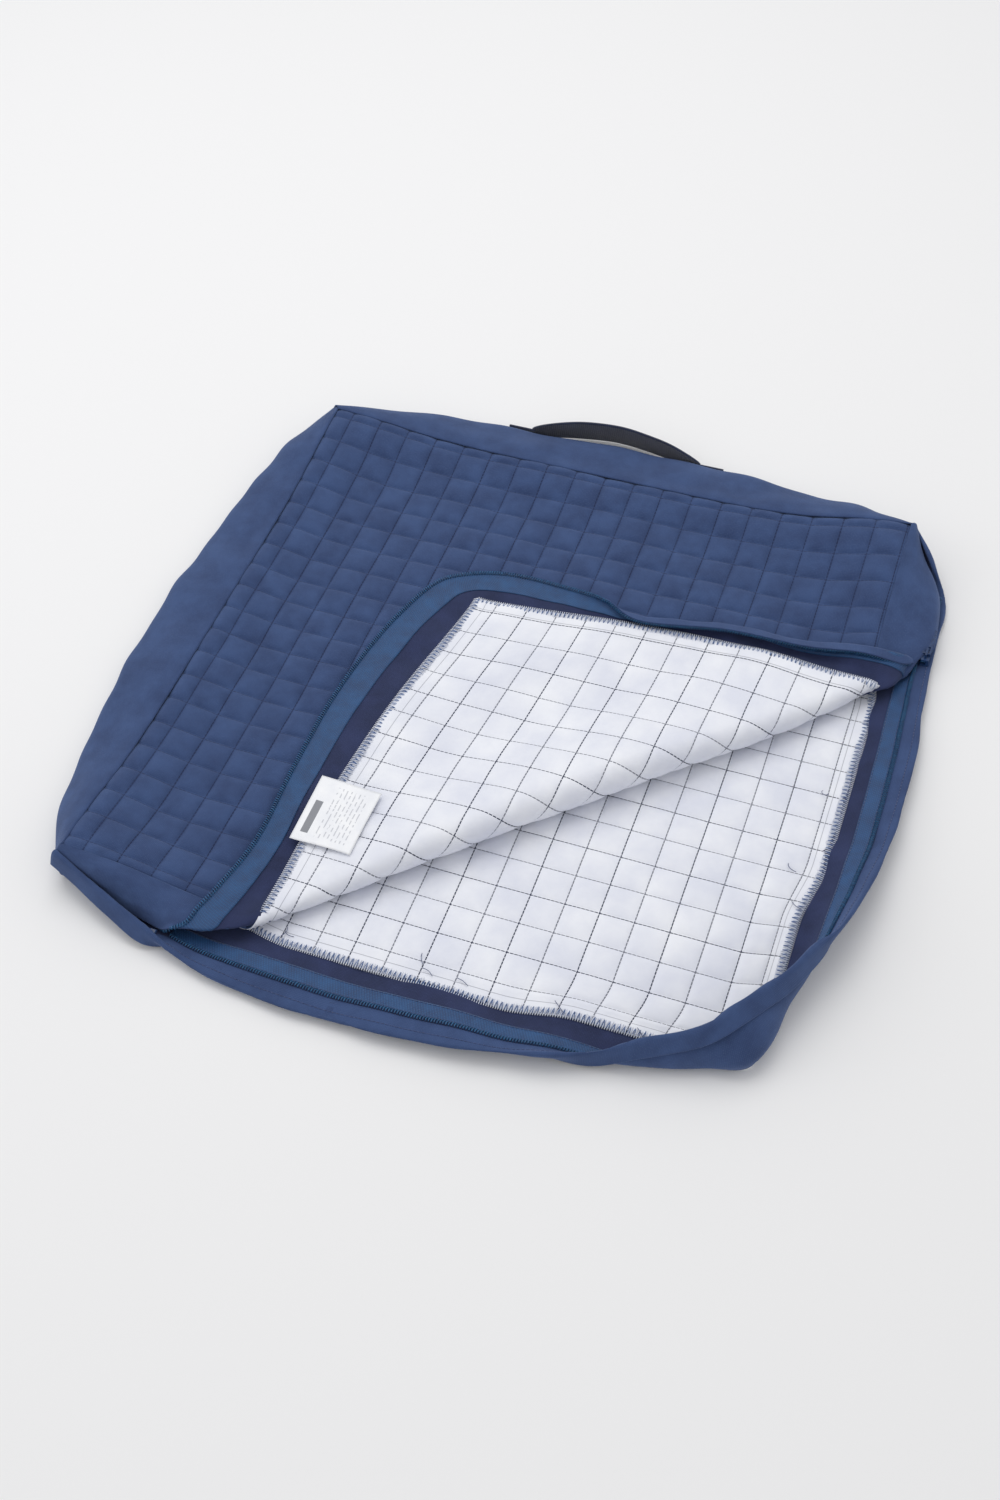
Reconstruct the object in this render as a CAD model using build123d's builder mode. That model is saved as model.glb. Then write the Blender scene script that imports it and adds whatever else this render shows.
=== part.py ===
from build123d import *
import os
from math import hypot

os.makedirs("parts", exist_ok=True)

# The empty cover of a square box-style floor cushion, unzipped and lying on the floor, with its
# front-right corner folded back over the rest. Origin: the middle of the bottom panel's underside.
# +X runs along the front edge to the right, +Y to the back, +Z up.

# ---------------------------------------------------------------- driving dimensions (mm)
panel = 500.0            # finished side of the two square quilted panels
allowance = 10.0         # seam allowance, left raw and overlocked inside the cover
cloth = 0.8              # cotton outer cloth, and the layer that each face is cut from
wadding = 2.6            # polyester wadding between face and backing
lining = 0.6             # thin white backing cloth
gusset_half = 50.0       # the gusset is 100 high, with the zip at half its height
top_level = 12.0         # underside of the top panel where it lies over the bottom one
fold_gap = 2.0           # half the gap between the top panel and the flap that lies on it
fold_offset = 182.0      # x - y along the fold line
fold_slot = 1.0          # x - y by which each side stops short of the fold line
gap = 0.2                # clearance between a panel's edge and the gusset beside it
corner_foot = 3.2        # how far outside the panel's corner the standing gusset's foot is
lift = 0.4               # clearance between the lower band and the zip that lies on it
corner_lift = 1.4        # more clearance where the zip turns the corner

tape_width = 16.0        # one half of the zip's tape
tape_thick = 0.6
coil_width = 3.4         # one row of the nylon coil
coil_thick = 2.0
lap_start = 0.80         # the lap covers this last share of the lower band's width

strap_width = 27.0       # cotton webbing of the handle
strap_thick = 1.8
strap_low = 2.0
label_size = (49.0, 60.0)
label_thick = 0.3

half = panel / 2
raw = half + allowance
quilt = cloth + wadding + lining
fold_level = top_level + quilt + fold_gap
flap_level = fold_level + fold_gap
foot_level = gap + cloth


# ---------------------------------------------------------------- planes and profiles
def across(side, along):
    """The plane across one side's gusset: local X points outward from the seam, local Y up."""
    planes = {
        "left": Plane((-half, along, 0), x_dir=(-1, 0, 0), z_dir=(0, 1, 0)),
        "back": Plane((along, half, 0), x_dir=(0, 1, 0), z_dir=(1, 0, 0)),
        "right": Plane((half, along, 0), x_dir=(1, 0, 0), z_dir=(0, -1, 0)),
        "front": Plane((along, -half, 0), x_dir=(0, -1, 0), z_dir=(-1, 0, 0)),
        "corner": Plane((half, -half, 0), x_dir=(1, -1, 0), z_dir=(-1, -1, 0)),
    }
    return planes[side]


def folded(points):
    """Points of the closed, flat top panel, where they lie once the corner is folded back."""
    return [(y + fold_offset, x - fold_offset) for x, y in points]


def band(station, start, end, under, over):
    """Draws a strip across the lower band: two shares of its width, two heights over its inside."""
    side, _, tip, rise = station
    foot = corner_foot if side == "corner" else gap
    reach = hypot(tip - foot, rise - cloth)
    out, up = (tip - foot) / reach, (rise - cloth) / reach
    stand_off = corner_lift if side == "corner" and under > 0 else 0
    low, high = under + stand_off, over + stand_off
    corners = [(start, low), (end, low), (end, high), (start, high)]
    Polygon(
        *[(foot + out * reach * s - up * h, foot_level + up * reach * s + out * h) for s, h in corners],
        align=None,
    )


def band_piece(stations, start, end, under, over):
    """Lofts such a strip from each station to the next, in the part that is being made."""
    sections = []
    for station in stations:
        with BuildSketch(across(*station[:2])) as section:
            band(station, start, end, under, over)
        sections.append(section.sketch)
    for pair in zip(sections, sections[1:]):
        loft(pair, ruled=True)


def bellows(tip, rise, top):
    """Draws a gusset folded in half outward: up the outside from the floor to the top seam."""
    Polygon(
        (gap, gap),
        (tip, rise),
        (gap, top),
        (gap, top - cloth),
        (tip - 3 * cloth, rise),
        (gap, gap + cloth),
        align=None,
    )


# ---------------------------------------------------------------- bottom panel
with BuildPart() as bottom_face:
    with BuildSketch():
        Rectangle(panel, panel)
    extrude(amount=cloth)
bottom_face.part.label = "bottom_face"

with BuildPart() as bottom_wadding:
    with BuildSketch(Plane.XY.offset(cloth)):
        Rectangle(panel, panel)
    extrude(amount=wadding)
bottom_wadding.part.label = "bottom_wadding"

with BuildPart() as bottom_backing:
    with BuildSketch(Plane.XY.offset(cloth + wadding)):
        Rectangle(panel, panel)
    extrude(amount=lining)
bottom_backing.part.label = "bottom_backing"

edging = 6.0             # width of the overlocked thread along a raw edge
edging_thick = 0.9
with BuildPart() as bottom_overlock:
    with BuildSketch(Plane.XY.offset(quilt)):
        Rectangle(panel, panel)
        Rectangle(panel - 2 * edging, panel - 2 * edging, mode=Mode.SUBTRACT)
    extrude(amount=edging_thick)
bottom_overlock.part.label = "bottom_overlock"

# ---------------------------------------------------------------- top panel, the part that stays down
kept = fold_offset - fold_slot
top_outline = [
    (-half, -half),
    (kept - half, -half),
    (half, half - kept),
    (half, half),
    (-half, half),
]

with BuildPart() as top_backing:
    with BuildSketch(Plane.XY.offset(top_level)):
        Polygon(*top_outline, align=None)
    extrude(amount=lining)
top_backing.part.label = "top_backing"

with BuildPart() as top_wadding:
    with BuildSketch(Plane.XY.offset(top_level + lining)):
        Polygon(*top_outline, align=None)
    extrude(amount=wadding)
top_wadding.part.label = "top_wadding"

with BuildPart() as top_face:
    with BuildSketch(Plane.XY.offset(top_level + lining + wadding)):
        Polygon(*top_outline, align=None)
    extrude(amount=cloth)
top_face.part.label = "top_face"

# ---------------------------------------------------------------- flap: the corner folded back
# It lies face down on the rest of the top panel, so its layers come in the reverse order.
turned = fold_offset + fold_slot
flap_outline = folded([(turned - half, -half), (half, half - turned), (half, -half)])
raw_outline = folded(
    [(turned - half, -half), (half, half - turned), (raw, half - turned), (raw, -raw), (turned - half, -raw)]
)

with BuildPart() as flap_face:
    with BuildSketch(Plane.XY.offset(flap_level)):
        Polygon(*flap_outline, align=None)
    extrude(amount=cloth)
flap_face.part.label = "flap_face"

with BuildPart() as flap_wadding:
    with BuildSketch(Plane.XY.offset(flap_level + cloth)):
        Polygon(*flap_outline, align=None)
    extrude(amount=wadding)
flap_wadding.part.label = "flap_wadding"

with BuildPart() as flap_backing:
    with BuildSketch(Plane.XY.offset(flap_level + cloth + wadding)):
        Polygon(*raw_outline, align=None)
    extrude(amount=lining)
flap_backing.part.label = "flap_backing"

# The upper half of the gusset is turned outward round the flap's two seams, inside face up.
start, turn, finish = folded([(turned - half, -half), (half, -half), (half, half - turned)])

with BuildPart() as flap_front_gusset:
    with BuildSketch(Plane.XY.offset(flap_level)):
        Polygon(
            start, turn, (turn[0] - gusset_half, turn[1]), (start[0] - gusset_half, start[1]), align=None
        )
    extrude(amount=cloth)
flap_front_gusset.part.label = "flap_front_gusset"

with BuildPart() as flap_corner_gusset:
    with BuildSketch(Plane.XY.offset(flap_level)):
        with BuildLine():
            Line(turn, (turn[0] - gusset_half, turn[1]))
            CenterArc(turn, gusset_half, 90, 90)
            Line((turn[0], turn[1] + gusset_half), turn)
        make_face()
    extrude(amount=cloth)
flap_corner_gusset.part.label = "flap_corner_gusset"

with BuildPart() as flap_right_gusset:
    with BuildSketch(Plane.XY.offset(flap_level)):
        Polygon(
            turn, finish, (finish[0], finish[1] + gusset_half), (turn[0], turn[1] + gusset_half), align=None
        )
    extrude(amount=cloth)
flap_right_gusset.part.label = "flap_right_gusset"

coil_reach = gusset_half - coil_width / 2
tape_reach = gusset_half - coil_width - tape_width / 2

with BuildPart() as flap_zip_tape:
    with BuildSketch(Plane.XY.offset(flap_level + cloth)):
        with BuildLine():
            Line((start[0] - tape_reach, start[1]), (turn[0] - tape_reach, turn[1]))
            CenterArc(turn, tape_reach, 90, 90)
            Line((turn[0], turn[1] + tape_reach), (finish[0], finish[1] + tape_reach))
        trace(line_width=tape_width)
    extrude(amount=tape_thick)
flap_zip_tape.part.label = "flap_zip_tape"

with BuildPart() as flap_zip_coil:
    with BuildSketch(Plane.XY.offset(flap_level + cloth)):
        with BuildLine():
            Line((start[0] - coil_reach, start[1]), (turn[0] - coil_reach, turn[1]))
            CenterArc(turn, coil_reach, 90, 90)
            Line((turn[0], turn[1] + coil_reach), (finish[0], finish[1] + coil_reach))
        trace(line_width=coil_width)
    extrude(amount=coil_thick)
flap_zip_coil.part.label = "flap_zip_coil"

edge_reach = allowance - edging / 2
with BuildPart() as flap_overlock:
    with BuildSketch(Plane.XY.offset(flap_level + quilt)):
        with BuildLine():
            Polyline(
                (start[0] - edge_reach, start[1]),
                (turn[0] - edge_reach, turn[1] + edge_reach),
                (finish[0], finish[1] + edge_reach),
            )
        trace(line_width=edging)
    extrude(amount=edging_thick)
flap_overlock.part.label = "flap_overlock"

# ---------------------------------------------------------------- gusset, left and back
# Between the corners it is folded flat outward; at a corner it stands up.
corner_tip, corner_rise, corner_top = 12.0, 20.0, 42.0
flat_tip, flat_rise = 48.0, 8.0
top_edge = top_level + quilt
bend = 80.0              # how far from a corner the gusset starts to stand up


def folded_gusset(side):
    """Lofts one side's gusset from corner to corner, in the part that is being made."""
    sections = []
    for along in (-half, -half + bend, half - bend, half):
        with BuildSketch(across(side, along)) as section:
            if abs(along) == half:
                bellows(corner_tip, corner_rise, corner_top)
            else:
                bellows(flat_tip, flat_rise, top_edge)
        sections.append(section.sketch)
    loft(sections, ruled=True)


with BuildPart() as left_gusset:
    folded_gusset("left")
left_gusset.part.label = "left_gusset"

with BuildPart() as back_gusset:
    folded_gusset("back")
back_gusset.part.label = "back_gusset"

# ---------------------------------------------------------------- lower half of the gusset, front and right
# Each station is a side, a place along it, and the reach and height of the band's free edge.
# The zip is closed before x = -165 on the front and beyond y = 130 on the right.
closed_front = ("front", -165.0, 35.0, 8.0)
closed_right = ("right", 130.0, 34.0, 9.0)
front_end = ("front", -half, corner_tip, corner_rise)
front_stations = [closed_front, ("front", -60.0, 58.0, 8.0), ("front", 60.0, 55.0, 10.0)]
front_stand = ("front", 150.0, 37.0, 44.0)
standing = ("corner", 0.0, -25.0, 46.0)
right_stand = ("right", -150.0, 31.0, 44.0)
right_stations = [("right", -50.0, 50.0, 26.0), ("right", 50.0, 48.0, 14.0), closed_right]
right_ends = [("right", 205.0, 34.0, 9.0), ("right", half, corner_tip, corner_rise)]
open_stations = [*front_stations, front_stand, standing, right_stand, *right_stations]

with BuildPart() as front_lower_gusset:
    band_piece([front_end, *front_stations, front_stand], 0, 1, -cloth, 0)
front_lower_gusset.part.label = "front_lower_gusset"

with BuildPart() as corner_lower_gusset:
    band_piece([front_stand, standing, right_stand], 0, 1, -cloth, 0)
corner_lower_gusset.part.label = "corner_lower_gusset"

with BuildPart() as right_lower_gusset:
    band_piece([right_stand, *right_stations, *right_ends], 0, 1, -cloth, 0)
right_lower_gusset.part.label = "right_lower_gusset"

# The lap: the band's free edge is turned under and stitched, so it is double there.
with BuildPart() as zip_lap:
    band_piece(open_stations, lap_start, 1, -2 * cloth - lift, -cloth - lift)
zip_lap.part.label = "zip_lap"

with BuildPart() as lower_zip_tape:
    band_piece(open_stations, 0.50, 0.73, lift, lift + tape_thick)
lower_zip_tape.part.label = "lower_zip_tape"

with BuildPart() as lower_zip_coil:
    band_piece(open_stations, 0.74, lap_start, lift, lift + coil_thick)
lower_zip_coil.part.label = "lower_zip_coil"

# ---------------------------------------------------------------- upper half of the gusset that stays down
zip_stack = 4.0          # height of the two tapes and the coil between the gusset's halves


def cover_piece(stations):
    """Lofts a strip from the top seam out and down to the zip, over the lower band's stations."""
    sections = []
    for side, along, tip, rise in stations:
        top = corner_top if abs(along) == half else top_edge
        zip_level = rise + zip_stack
        with BuildSketch(across(side, along)) as section:
            Polygon((gap, top - cloth), (tip, zip_level), (tip, zip_level + cloth), (gap, top), align=None)
        sections.append(section.sketch)
    loft(sections, ruled=True)


with BuildPart() as front_upper_gusset:
    cover_piece([front_end, closed_front, ("front", kept - half, 45.0, 9.0)])
front_upper_gusset.part.label = "front_upper_gusset"

with BuildPart() as right_upper_gusset:
    cover_piece([("right", half - kept, 45.0, 16.0), closed_right, *right_ends])
right_upper_gusset.part.label = "right_upper_gusset"

# ---------------------------------------------------------------- zip: closed chain, stop, slider, puller
chain_x = half + closed_right[2] + 0.5
chain_wide = 4.0
chain_low, chain_high = 9.8, 12.4
chain_from, chain_to = 131.0, 204.0
with BuildPart() as zip_chain:
    with BuildSketch(Plane.XY.offset(chain_low)):
        with Locations((chain_x + chain_wide / 2, (chain_from + chain_to) / 2)):
            Rectangle(chain_wide, chain_to - chain_from)
    extrude(amount=chain_high - chain_low)
zip_chain.part.label = "zip_chain"

stop_long, stop_wide, stop_thick = 5.0, 6.0, 1.8
with BuildPart() as zip_stop:
    with BuildSketch(Plane.XY.offset(chain_low)):
        with Locations((closed_front[1] - stop_long / 2 - 0.5, -half - closed_front[2] + 1)):
            Rectangle(stop_long, stop_wide)
    extrude(amount=stop_thick)
    chamfer(zip_stop.edges().group_by(Axis.Z)[-1], length=0.5)
zip_stop.part.label = "zip_stop"

slider_y = 136.5         # middle of the slider at the zip's open end
slider_length = 12.0
play = 0.5               # play between the slider and the chain
wall = 1.5
bridge_wide, bridge_long, bridge_high = 1.6, 7.8, 4.1
bridge_wall = 1.2
bridge_x = chain_x + 2.5
deck = chain_high + play + wall
with BuildPart() as zip_slider:
    with BuildSketch(Plane.XZ.offset(-slider_y)):
        with Locations((chain_x + 0.2, chain_low - play - wall)):
            Rectangle(
                chain_wide + 0.4 + wall + play, chain_high - chain_low + 2 * (play + wall), align=Align.MIN
            )
        with Locations((chain_x, chain_low - play)):
            Rectangle(
                chain_wide + play, chain_high - chain_low + 2 * play, align=Align.MIN, mode=Mode.SUBTRACT
            )
    extrude(amount=slider_length / 2, both=True)
    with BuildSketch(Plane.YZ.offset(bridge_x)):
        with Locations((slider_y, deck - 0.1)):
            Rectangle(bridge_long, bridge_high, align=(Align.CENTER, Align.MIN))
            Rectangle(
                bridge_long - 2 * bridge_wall,
                bridge_high - bridge_wall,
                align=(Align.CENTER, Align.MIN),
                mode=Mode.SUBTRACT,
            )
    extrude(amount=bridge_wide)
zip_slider.part.label = "zip_slider"

puller_wide, puller_long, puller_thick = 7.0, 27.0, 1.4
window_wide, window_long = 4.2, 6.0
bar_half = 0.7           # half the bar of the puller that turns in the bridge
bar_x = bridge_x + bridge_wide / 2
puller_low = deck + 0.7
with BuildPart() as zip_puller:
    with BuildSketch(Plane.XY.offset(puller_low)):
        with Locations((bar_x, slider_y - bar_half)):
            Rectangle(puller_wide, puller_long, align=(Align.CENTER, Align.MIN))
        with Locations((bar_x, slider_y + bar_half + play / 2)):
            Rectangle(window_wide, window_long, align=(Align.CENTER, Align.MIN), mode=Mode.SUBTRACT)
    extrude(amount=puller_thick)
    fillet(zip_puller.edges().filter_by(Axis.Z).group_by(Axis.Y)[-1], radius=2)
zip_puller.part.label = "zip_puller"

# ---------------------------------------------------------------- carrying handle on the back gusset
strap_left, strap_right = -84.0, 59.0
strap_bow = 15.0
back_tip = half + flat_tip
with BuildPart() as handle_strap:
    with BuildSketch(Plane.XY.offset(strap_low)):
        with BuildLine():
            ThreePointArc(
                (strap_left, back_tip + 2.6),
                ((strap_left + strap_right) / 2, back_tip + 2.6 + strap_bow),
                (strap_right, back_tip + 2.6),
            )
        trace(line_width=strap_thick)
    extrude(amount=strap_width)
handle_strap.part.label = "handle_strap"

anchor_length = 24.0
with BuildPart() as handle_anchors:
    with BuildSketch(Plane.XY.offset(strap_low)):
        with Locations(
            (strap_left - 1 - anchor_length / 2, back_tip + 1.2),
            (strap_right + 1 + anchor_length / 2, back_tip + 1.2),
        ):
            Rectangle(anchor_length, strap_thick)
    extrude(amount=strap_width)
handle_anchors.part.label = "handle_anchors"

# ---------------------------------------------------------------- care label, sewn to the flap's gusset
label_x, label_y = -106.0, -186.0
label_low = flap_level + quilt + 2.0
with BuildPart() as care_label:
    with BuildSketch(Plane.XY.offset(label_low)):
        with Locations((label_x, label_y)):
            Rectangle(*label_size, align=Align.MIN)
    extrude(amount=label_thick)
care_label.part.label = "care_label"

# ---------------------------------------------------------------- one STEP file for each piece
pieces = [
    bottom_face, bottom_wadding, bottom_backing, bottom_overlock,
    top_backing, top_wadding, top_face,
    flap_face, flap_wadding, flap_backing, flap_front_gusset, flap_corner_gusset, flap_right_gusset,
    flap_zip_tape, flap_zip_coil, flap_overlock,
    left_gusset, back_gusset, front_lower_gusset, corner_lower_gusset, right_lower_gusset,
    front_upper_gusset, right_upper_gusset, zip_lap, lower_zip_tape, lower_zip_coil,
    zip_chain, zip_stop, zip_slider, zip_puller, handle_strap, handle_anchors, care_label,
]
for piece in pieces:
    export_step(piece.part, f"parts/{piece.part.label}.step")

print("fold axis height", fold_level, "label hinge height", label_low + label_thick / 2)
print("puller hinge", bar_x, slider_y, puller_low + puller_thick / 2)
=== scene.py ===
# %% [markdown]
# # An empty quilted cushion cover, unzipped and folded back
# This lesson dresses a fixed CAD model of the empty cover of a box-style floor cushion. The cover lies on
# the floor, its zip is open round one corner, and that corner of the top panel is folded back over the
# rest. The CAD model gives the sizes, the places and the moving bodies. Blender adds what cloth does:
# quilting that puffs, a fold that rolls, a gusset that collapses, stitches, and woven surfaces.

# %% Load the frame
from math import cos, pi, radians, sin

import bpy
import numpy as np
from mathutils import Matrix, Vector


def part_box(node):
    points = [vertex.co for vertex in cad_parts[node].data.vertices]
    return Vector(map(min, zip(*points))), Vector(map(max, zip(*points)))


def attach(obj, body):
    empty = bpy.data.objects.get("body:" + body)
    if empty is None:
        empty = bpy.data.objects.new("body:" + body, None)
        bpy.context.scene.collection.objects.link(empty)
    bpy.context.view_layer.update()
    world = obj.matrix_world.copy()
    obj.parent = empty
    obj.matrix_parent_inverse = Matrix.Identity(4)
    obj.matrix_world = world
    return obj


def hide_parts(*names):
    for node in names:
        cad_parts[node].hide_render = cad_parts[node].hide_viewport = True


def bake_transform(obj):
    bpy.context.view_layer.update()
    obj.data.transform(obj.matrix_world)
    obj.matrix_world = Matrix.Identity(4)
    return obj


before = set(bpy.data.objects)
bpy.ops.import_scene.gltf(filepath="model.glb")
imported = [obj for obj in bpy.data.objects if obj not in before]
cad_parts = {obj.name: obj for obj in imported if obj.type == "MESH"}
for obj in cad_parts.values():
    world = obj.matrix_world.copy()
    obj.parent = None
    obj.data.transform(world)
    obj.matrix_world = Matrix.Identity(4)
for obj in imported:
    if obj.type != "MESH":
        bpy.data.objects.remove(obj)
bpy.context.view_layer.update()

MM = 0.001

# %% [markdown]
# ## Sizes
# Each size is read from the CAD nodes, so every piece of cloth starts where its solid is. Lengths in this
# script are in millimetres, and they become metres only when a mesh is made.

# %% Sizes from the CAD nodes
_, panel_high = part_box("bottom_face")
half = panel_high.x / MM
allowance = 10.0           # mm of cloth outside the seam
raw = half + allowance
cell = 25.4                # mm, one inch from quilting row to quilting row
strap_low, strap_high = (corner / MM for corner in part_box("handle_strap"))
label_low, label_high = (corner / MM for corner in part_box("care_label"))
print("panel half side", half, "handle", strap_low, strap_high)

# %% [markdown]
# ## Camera
# The camera stands in front of the cover, a little to its right, and looks steeply down. Its place is a
# direction and a distance from a target point, which is easier to reason about than a bare position.

# %% Camera
azimuth, elevation, roll = radians(21.09), radians(50.34), radians(-2.16)
target = Vector((2.9, -45.5, 0.0)) * MM
distance = 1345 * MM
focal_length = 42.83       # mm
back = Vector((sin(azimuth) * cos(elevation), -cos(azimuth) * cos(elevation), sin(elevation)))
right = (-back).cross(Vector((0, 0, 1))).normalized()
up = right.cross(-back)
right, up = right * cos(roll) + up * sin(roll), up * cos(roll) - right * sin(roll)
camera = bpy.data.objects.new("camera", bpy.data.cameras.new("camera"))
camera.data.lens = focal_length
facing = Matrix((right, up, back)).transposed().to_4x4()
camera.matrix_world = Matrix.Translation(target + back * distance) @ facing
bpy.context.scene.collection.objects.link(camera)
bpy.context.scene.camera = camera
print("camera at", [round(v, 3) for v in camera.matrix_world.translation])

# %% [markdown]
# ## Tools for materials
# A material is a small tree of nodes. One function adds a node, sets its values and links its inputs, and
# one function turns the hex colours that a maker's colour card gives into linear values.

# %% Node and colour helpers
def linear(code):
    """An sRGB hex colour as a linear RGBA tuple."""
    parts = [int(code[i:i + 2], 16) / 255 for i in (1, 3, 5)]
    return (*[c / 12.92 if c <= 0.04045 else ((c + 0.055) / 1.055) ** 2.4 for c in parts], 1.0)


def add_node(tree, kind, settings=None, values=None, links=None):
    """Adds a node: its settings, the values of its inputs, and the output sockets linked to its inputs."""
    node = tree.nodes.new(kind)
    for name, value in (settings or {}).items():
        setattr(node, name, value)
    for name, value in (values or {}).items():
        node.inputs[name].default_value = value
    for name, socket in (links or {}).items():
        tree.links.new(socket, node.inputs[name])
    return node


def new_material(name, **values):
    """A material with one Principled shader whose sockets are set directly."""
    material = bpy.data.materials.new(name)
    material.use_nodes = True
    shader = material.node_tree.nodes["Principled BSDF"]
    for key, value in values.items():
        shader.inputs[key.replace("_", " ").title().replace("Ior", "IOR")].default_value = value
    return material, material.node_tree, shader


def mottled(tree, coordinate, dark, light, scale, detail=4.0):
    """Two close shades mixed by noise, as dyed or washed cloth shows them."""
    noise = add_node(tree, "ShaderNodeTexNoise", {}, {"Scale": scale, "Detail": detail, "Roughness": 0.6},
                     {"Vector": coordinate})
    ramp = add_node(tree, "ShaderNodeMapRange", {}, {"From Min": 0.35, "From Max": 0.65},
                    {"Value": noise.outputs["Fac"]})
    return add_node(tree, "ShaderNodeMix", {"data_type": "RGBA"}, {6: linear(dark), 7: linear(light)},
                    {0: ramp.outputs["Result"]}).outputs[2]


def threads(tree, coordinate, spacing, turn, profile="SIN"):
    """Parallel threads with the given spacing in mm, across the cloth's own U or V, turned in degrees."""
    turned = add_node(tree, "ShaderNodeMapping", {}, {"Rotation": (0, 0, radians(turn))},
                      {"Vector": coordinate})
    # A Wave texture makes one band every 2 pi / 20 of its coordinate at scale 1.
    return add_node(tree, "ShaderNodeTexWave", {"wave_profile": profile},
                    {"Scale": 2 * pi / 20 / (spacing * MM), "Distortion": 0.6, "Detail": 1.0,
                     "Detail Scale": 2.0},
                    {"Vector": turned.outputs["Vector"]}).outputs["Fac"]


def combine(tree, operation, first, second):
    """Two values through one Math node."""
    node = add_node(tree, "ShaderNodeMath", {"operation": operation})
    for socket, value in zip(node.inputs, (first, second)):
        if isinstance(value, (int, float)):
            socket.default_value = value
        else:
            tree.links.new(value, socket)
    return node.outputs[0]


def shade(tree, colour, factor, toward):
    """Mixes a colour towards another by a factor socket."""
    return add_node(tree, "ShaderNodeMix", {"data_type": "RGBA"}, {7: linear(toward)},
                    {0: factor, 6: colour}).outputs[2]


def bump(tree, shader, height, depth, strength=1.0):
    """Raises the surface by a height socket, `depth` mm at its highest."""
    node = add_node(tree, "ShaderNodeBump", {}, {"Distance": depth * MM, "Strength": strength},
                    {"Height": height})
    tree.links.new(node.outputs["Normal"], shader.inputs["Normal"])


# %% [markdown]
# ## Cotton canvas, piece-dyed navy
# The outer cloth is a plain-woven cotton canvas. Real threads lie about 0.5 mm apart, which is finer than
# a view of the whole cover can show, so they are drawn 1.1 mm apart. Cotton is matt: high roughness, a
# little sheen from loose fibres, and a faint mottling because the dye takes unevenly.

# %% Cotton canvas
weave_gap = 1.1            # mm between threads as drawn


def cotton_canvas(name, dark, light, worn):
    """Navy canvas: warp and weft as two sets of threads, mottled dye, and a paler bloom of loose fibre."""
    material, tree, shader = new_material(name, roughness=0.92, ior=1.47, sheen_weight=0.35,
                                          sheen_roughness=0.5, sheen_tint=linear("#8fa3cc"))
    cloth = add_node(tree, "ShaderNodeUVMap", {"uv_map": "cloth"}).outputs[0]
    colour = mottled(tree, cloth, dark, light, 38.0)
    warp, weft = threads(tree, cloth, weave_gap, 0), threads(tree, cloth, weave_gap, 90)
    weave = combine(tree, "MULTIPLY", warp, weft)
    fibre = add_node(tree, "ShaderNodeTexNoise", {}, {"Scale": 900.0, "Detail": 2.0}, {"Vector": cloth})
    bloom = combine(tree, "MULTIPLY", combine(tree, "POWER", fibre.outputs["Fac"], 2.5), 0.9)
    colour = shade(tree, colour, combine(tree, "MULTIPLY", bloom, weave), worn)
    tree.links.new(colour, shader.inputs["Base Color"])
    bump(tree, shader, combine(tree, "ADD", weave, fibre.outputs["Fac"]), 0.18, 0.6)
    return material


canvas = cotton_canvas("cotton_canvas_navy", "#2a3d66", "#364c78", "#5f7398")
# The inside copy is the same canvas with darker colours: painted shade for the gusset's inside, which lies in
# shadow.
canvas_inside_painted_shade = cotton_canvas("cotton_canvas_navy_inside_painted_shade", "#1b2344", "#262f56", "#43527a")
print("materials:", canvas.name, canvas_inside_painted_shade.name)

# %% [markdown]
# ## White backing cloth with the quilting on it
# The backing is a thin, smooth white polyester-cotton. The quilting machine sews navy thread through all
# the layers, in rows 25.4 mm (one inch) apart in both directions, so the backing shows the thread as
# short dark dashes with a small gap where the needle went through. The navy faces show the same rows as a
# darker line at the bottom of each channel. The rows sit in the cloth's own coordinates, which are stored
# on the mesh as a UV map in metres, so they bend and fold with the cloth.

# %% Backing cloth
stitch_length = 3.2        # mm from one needle hole to the next
thread_width = 0.85        # mm; real thread is 0.4, drawn wider so that it shows


def stitched_rows(tree, cloth, axis, origin):
    """How much of the thread of the rows across one axis covers a point, and how dark each row is."""
    other = "XY".replace(axis, "")
    parts = add_node(tree, "ShaderNodeSeparateXYZ", {}, {}, {"Vector": cloth})
    across, along = parts.outputs[axis], parts.outputs[other]
    wander = add_node(tree, "ShaderNodeTexNoise", {"noise_dimensions": "1D"}, {"Scale": 9.0, "Detail": 2.0},
                      {"W": along})
    across = combine(tree, "ADD", across, combine(tree, "MULTIPLY", wander.outputs["Fac"], 1.2 * MM))
    row = combine(tree, "DIVIDE", combine(tree, "SUBTRACT", across, origin * MM), cell * MM)
    near = combine(tree, "ABSOLUTE", combine(tree, "SUBTRACT", row, combine(tree, "ROUND", row, 0)), 0)
    line = combine(tree, "LESS_THAN", near, thread_width / 2 / cell)
    step = combine(tree, "FRACT", combine(tree, "DIVIDE", along, stitch_length * MM), 0)
    dash = combine(tree, "LESS_THAN", step, 0.82)
    second = combine(tree, "FRACT", combine(tree, "MULTIPLY", combine(tree, "ROUND", row, 0), 0.5), 0)
    firm = combine(tree, "ADD", 0.8, combine(tree, "MULTIPLY", combine(tree, "ABSOLUTE", second, 0), 0.4))
    return combine(tree, "MULTIPLY", combine(tree, "MULTIPLY", line, dash), firm)


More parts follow.
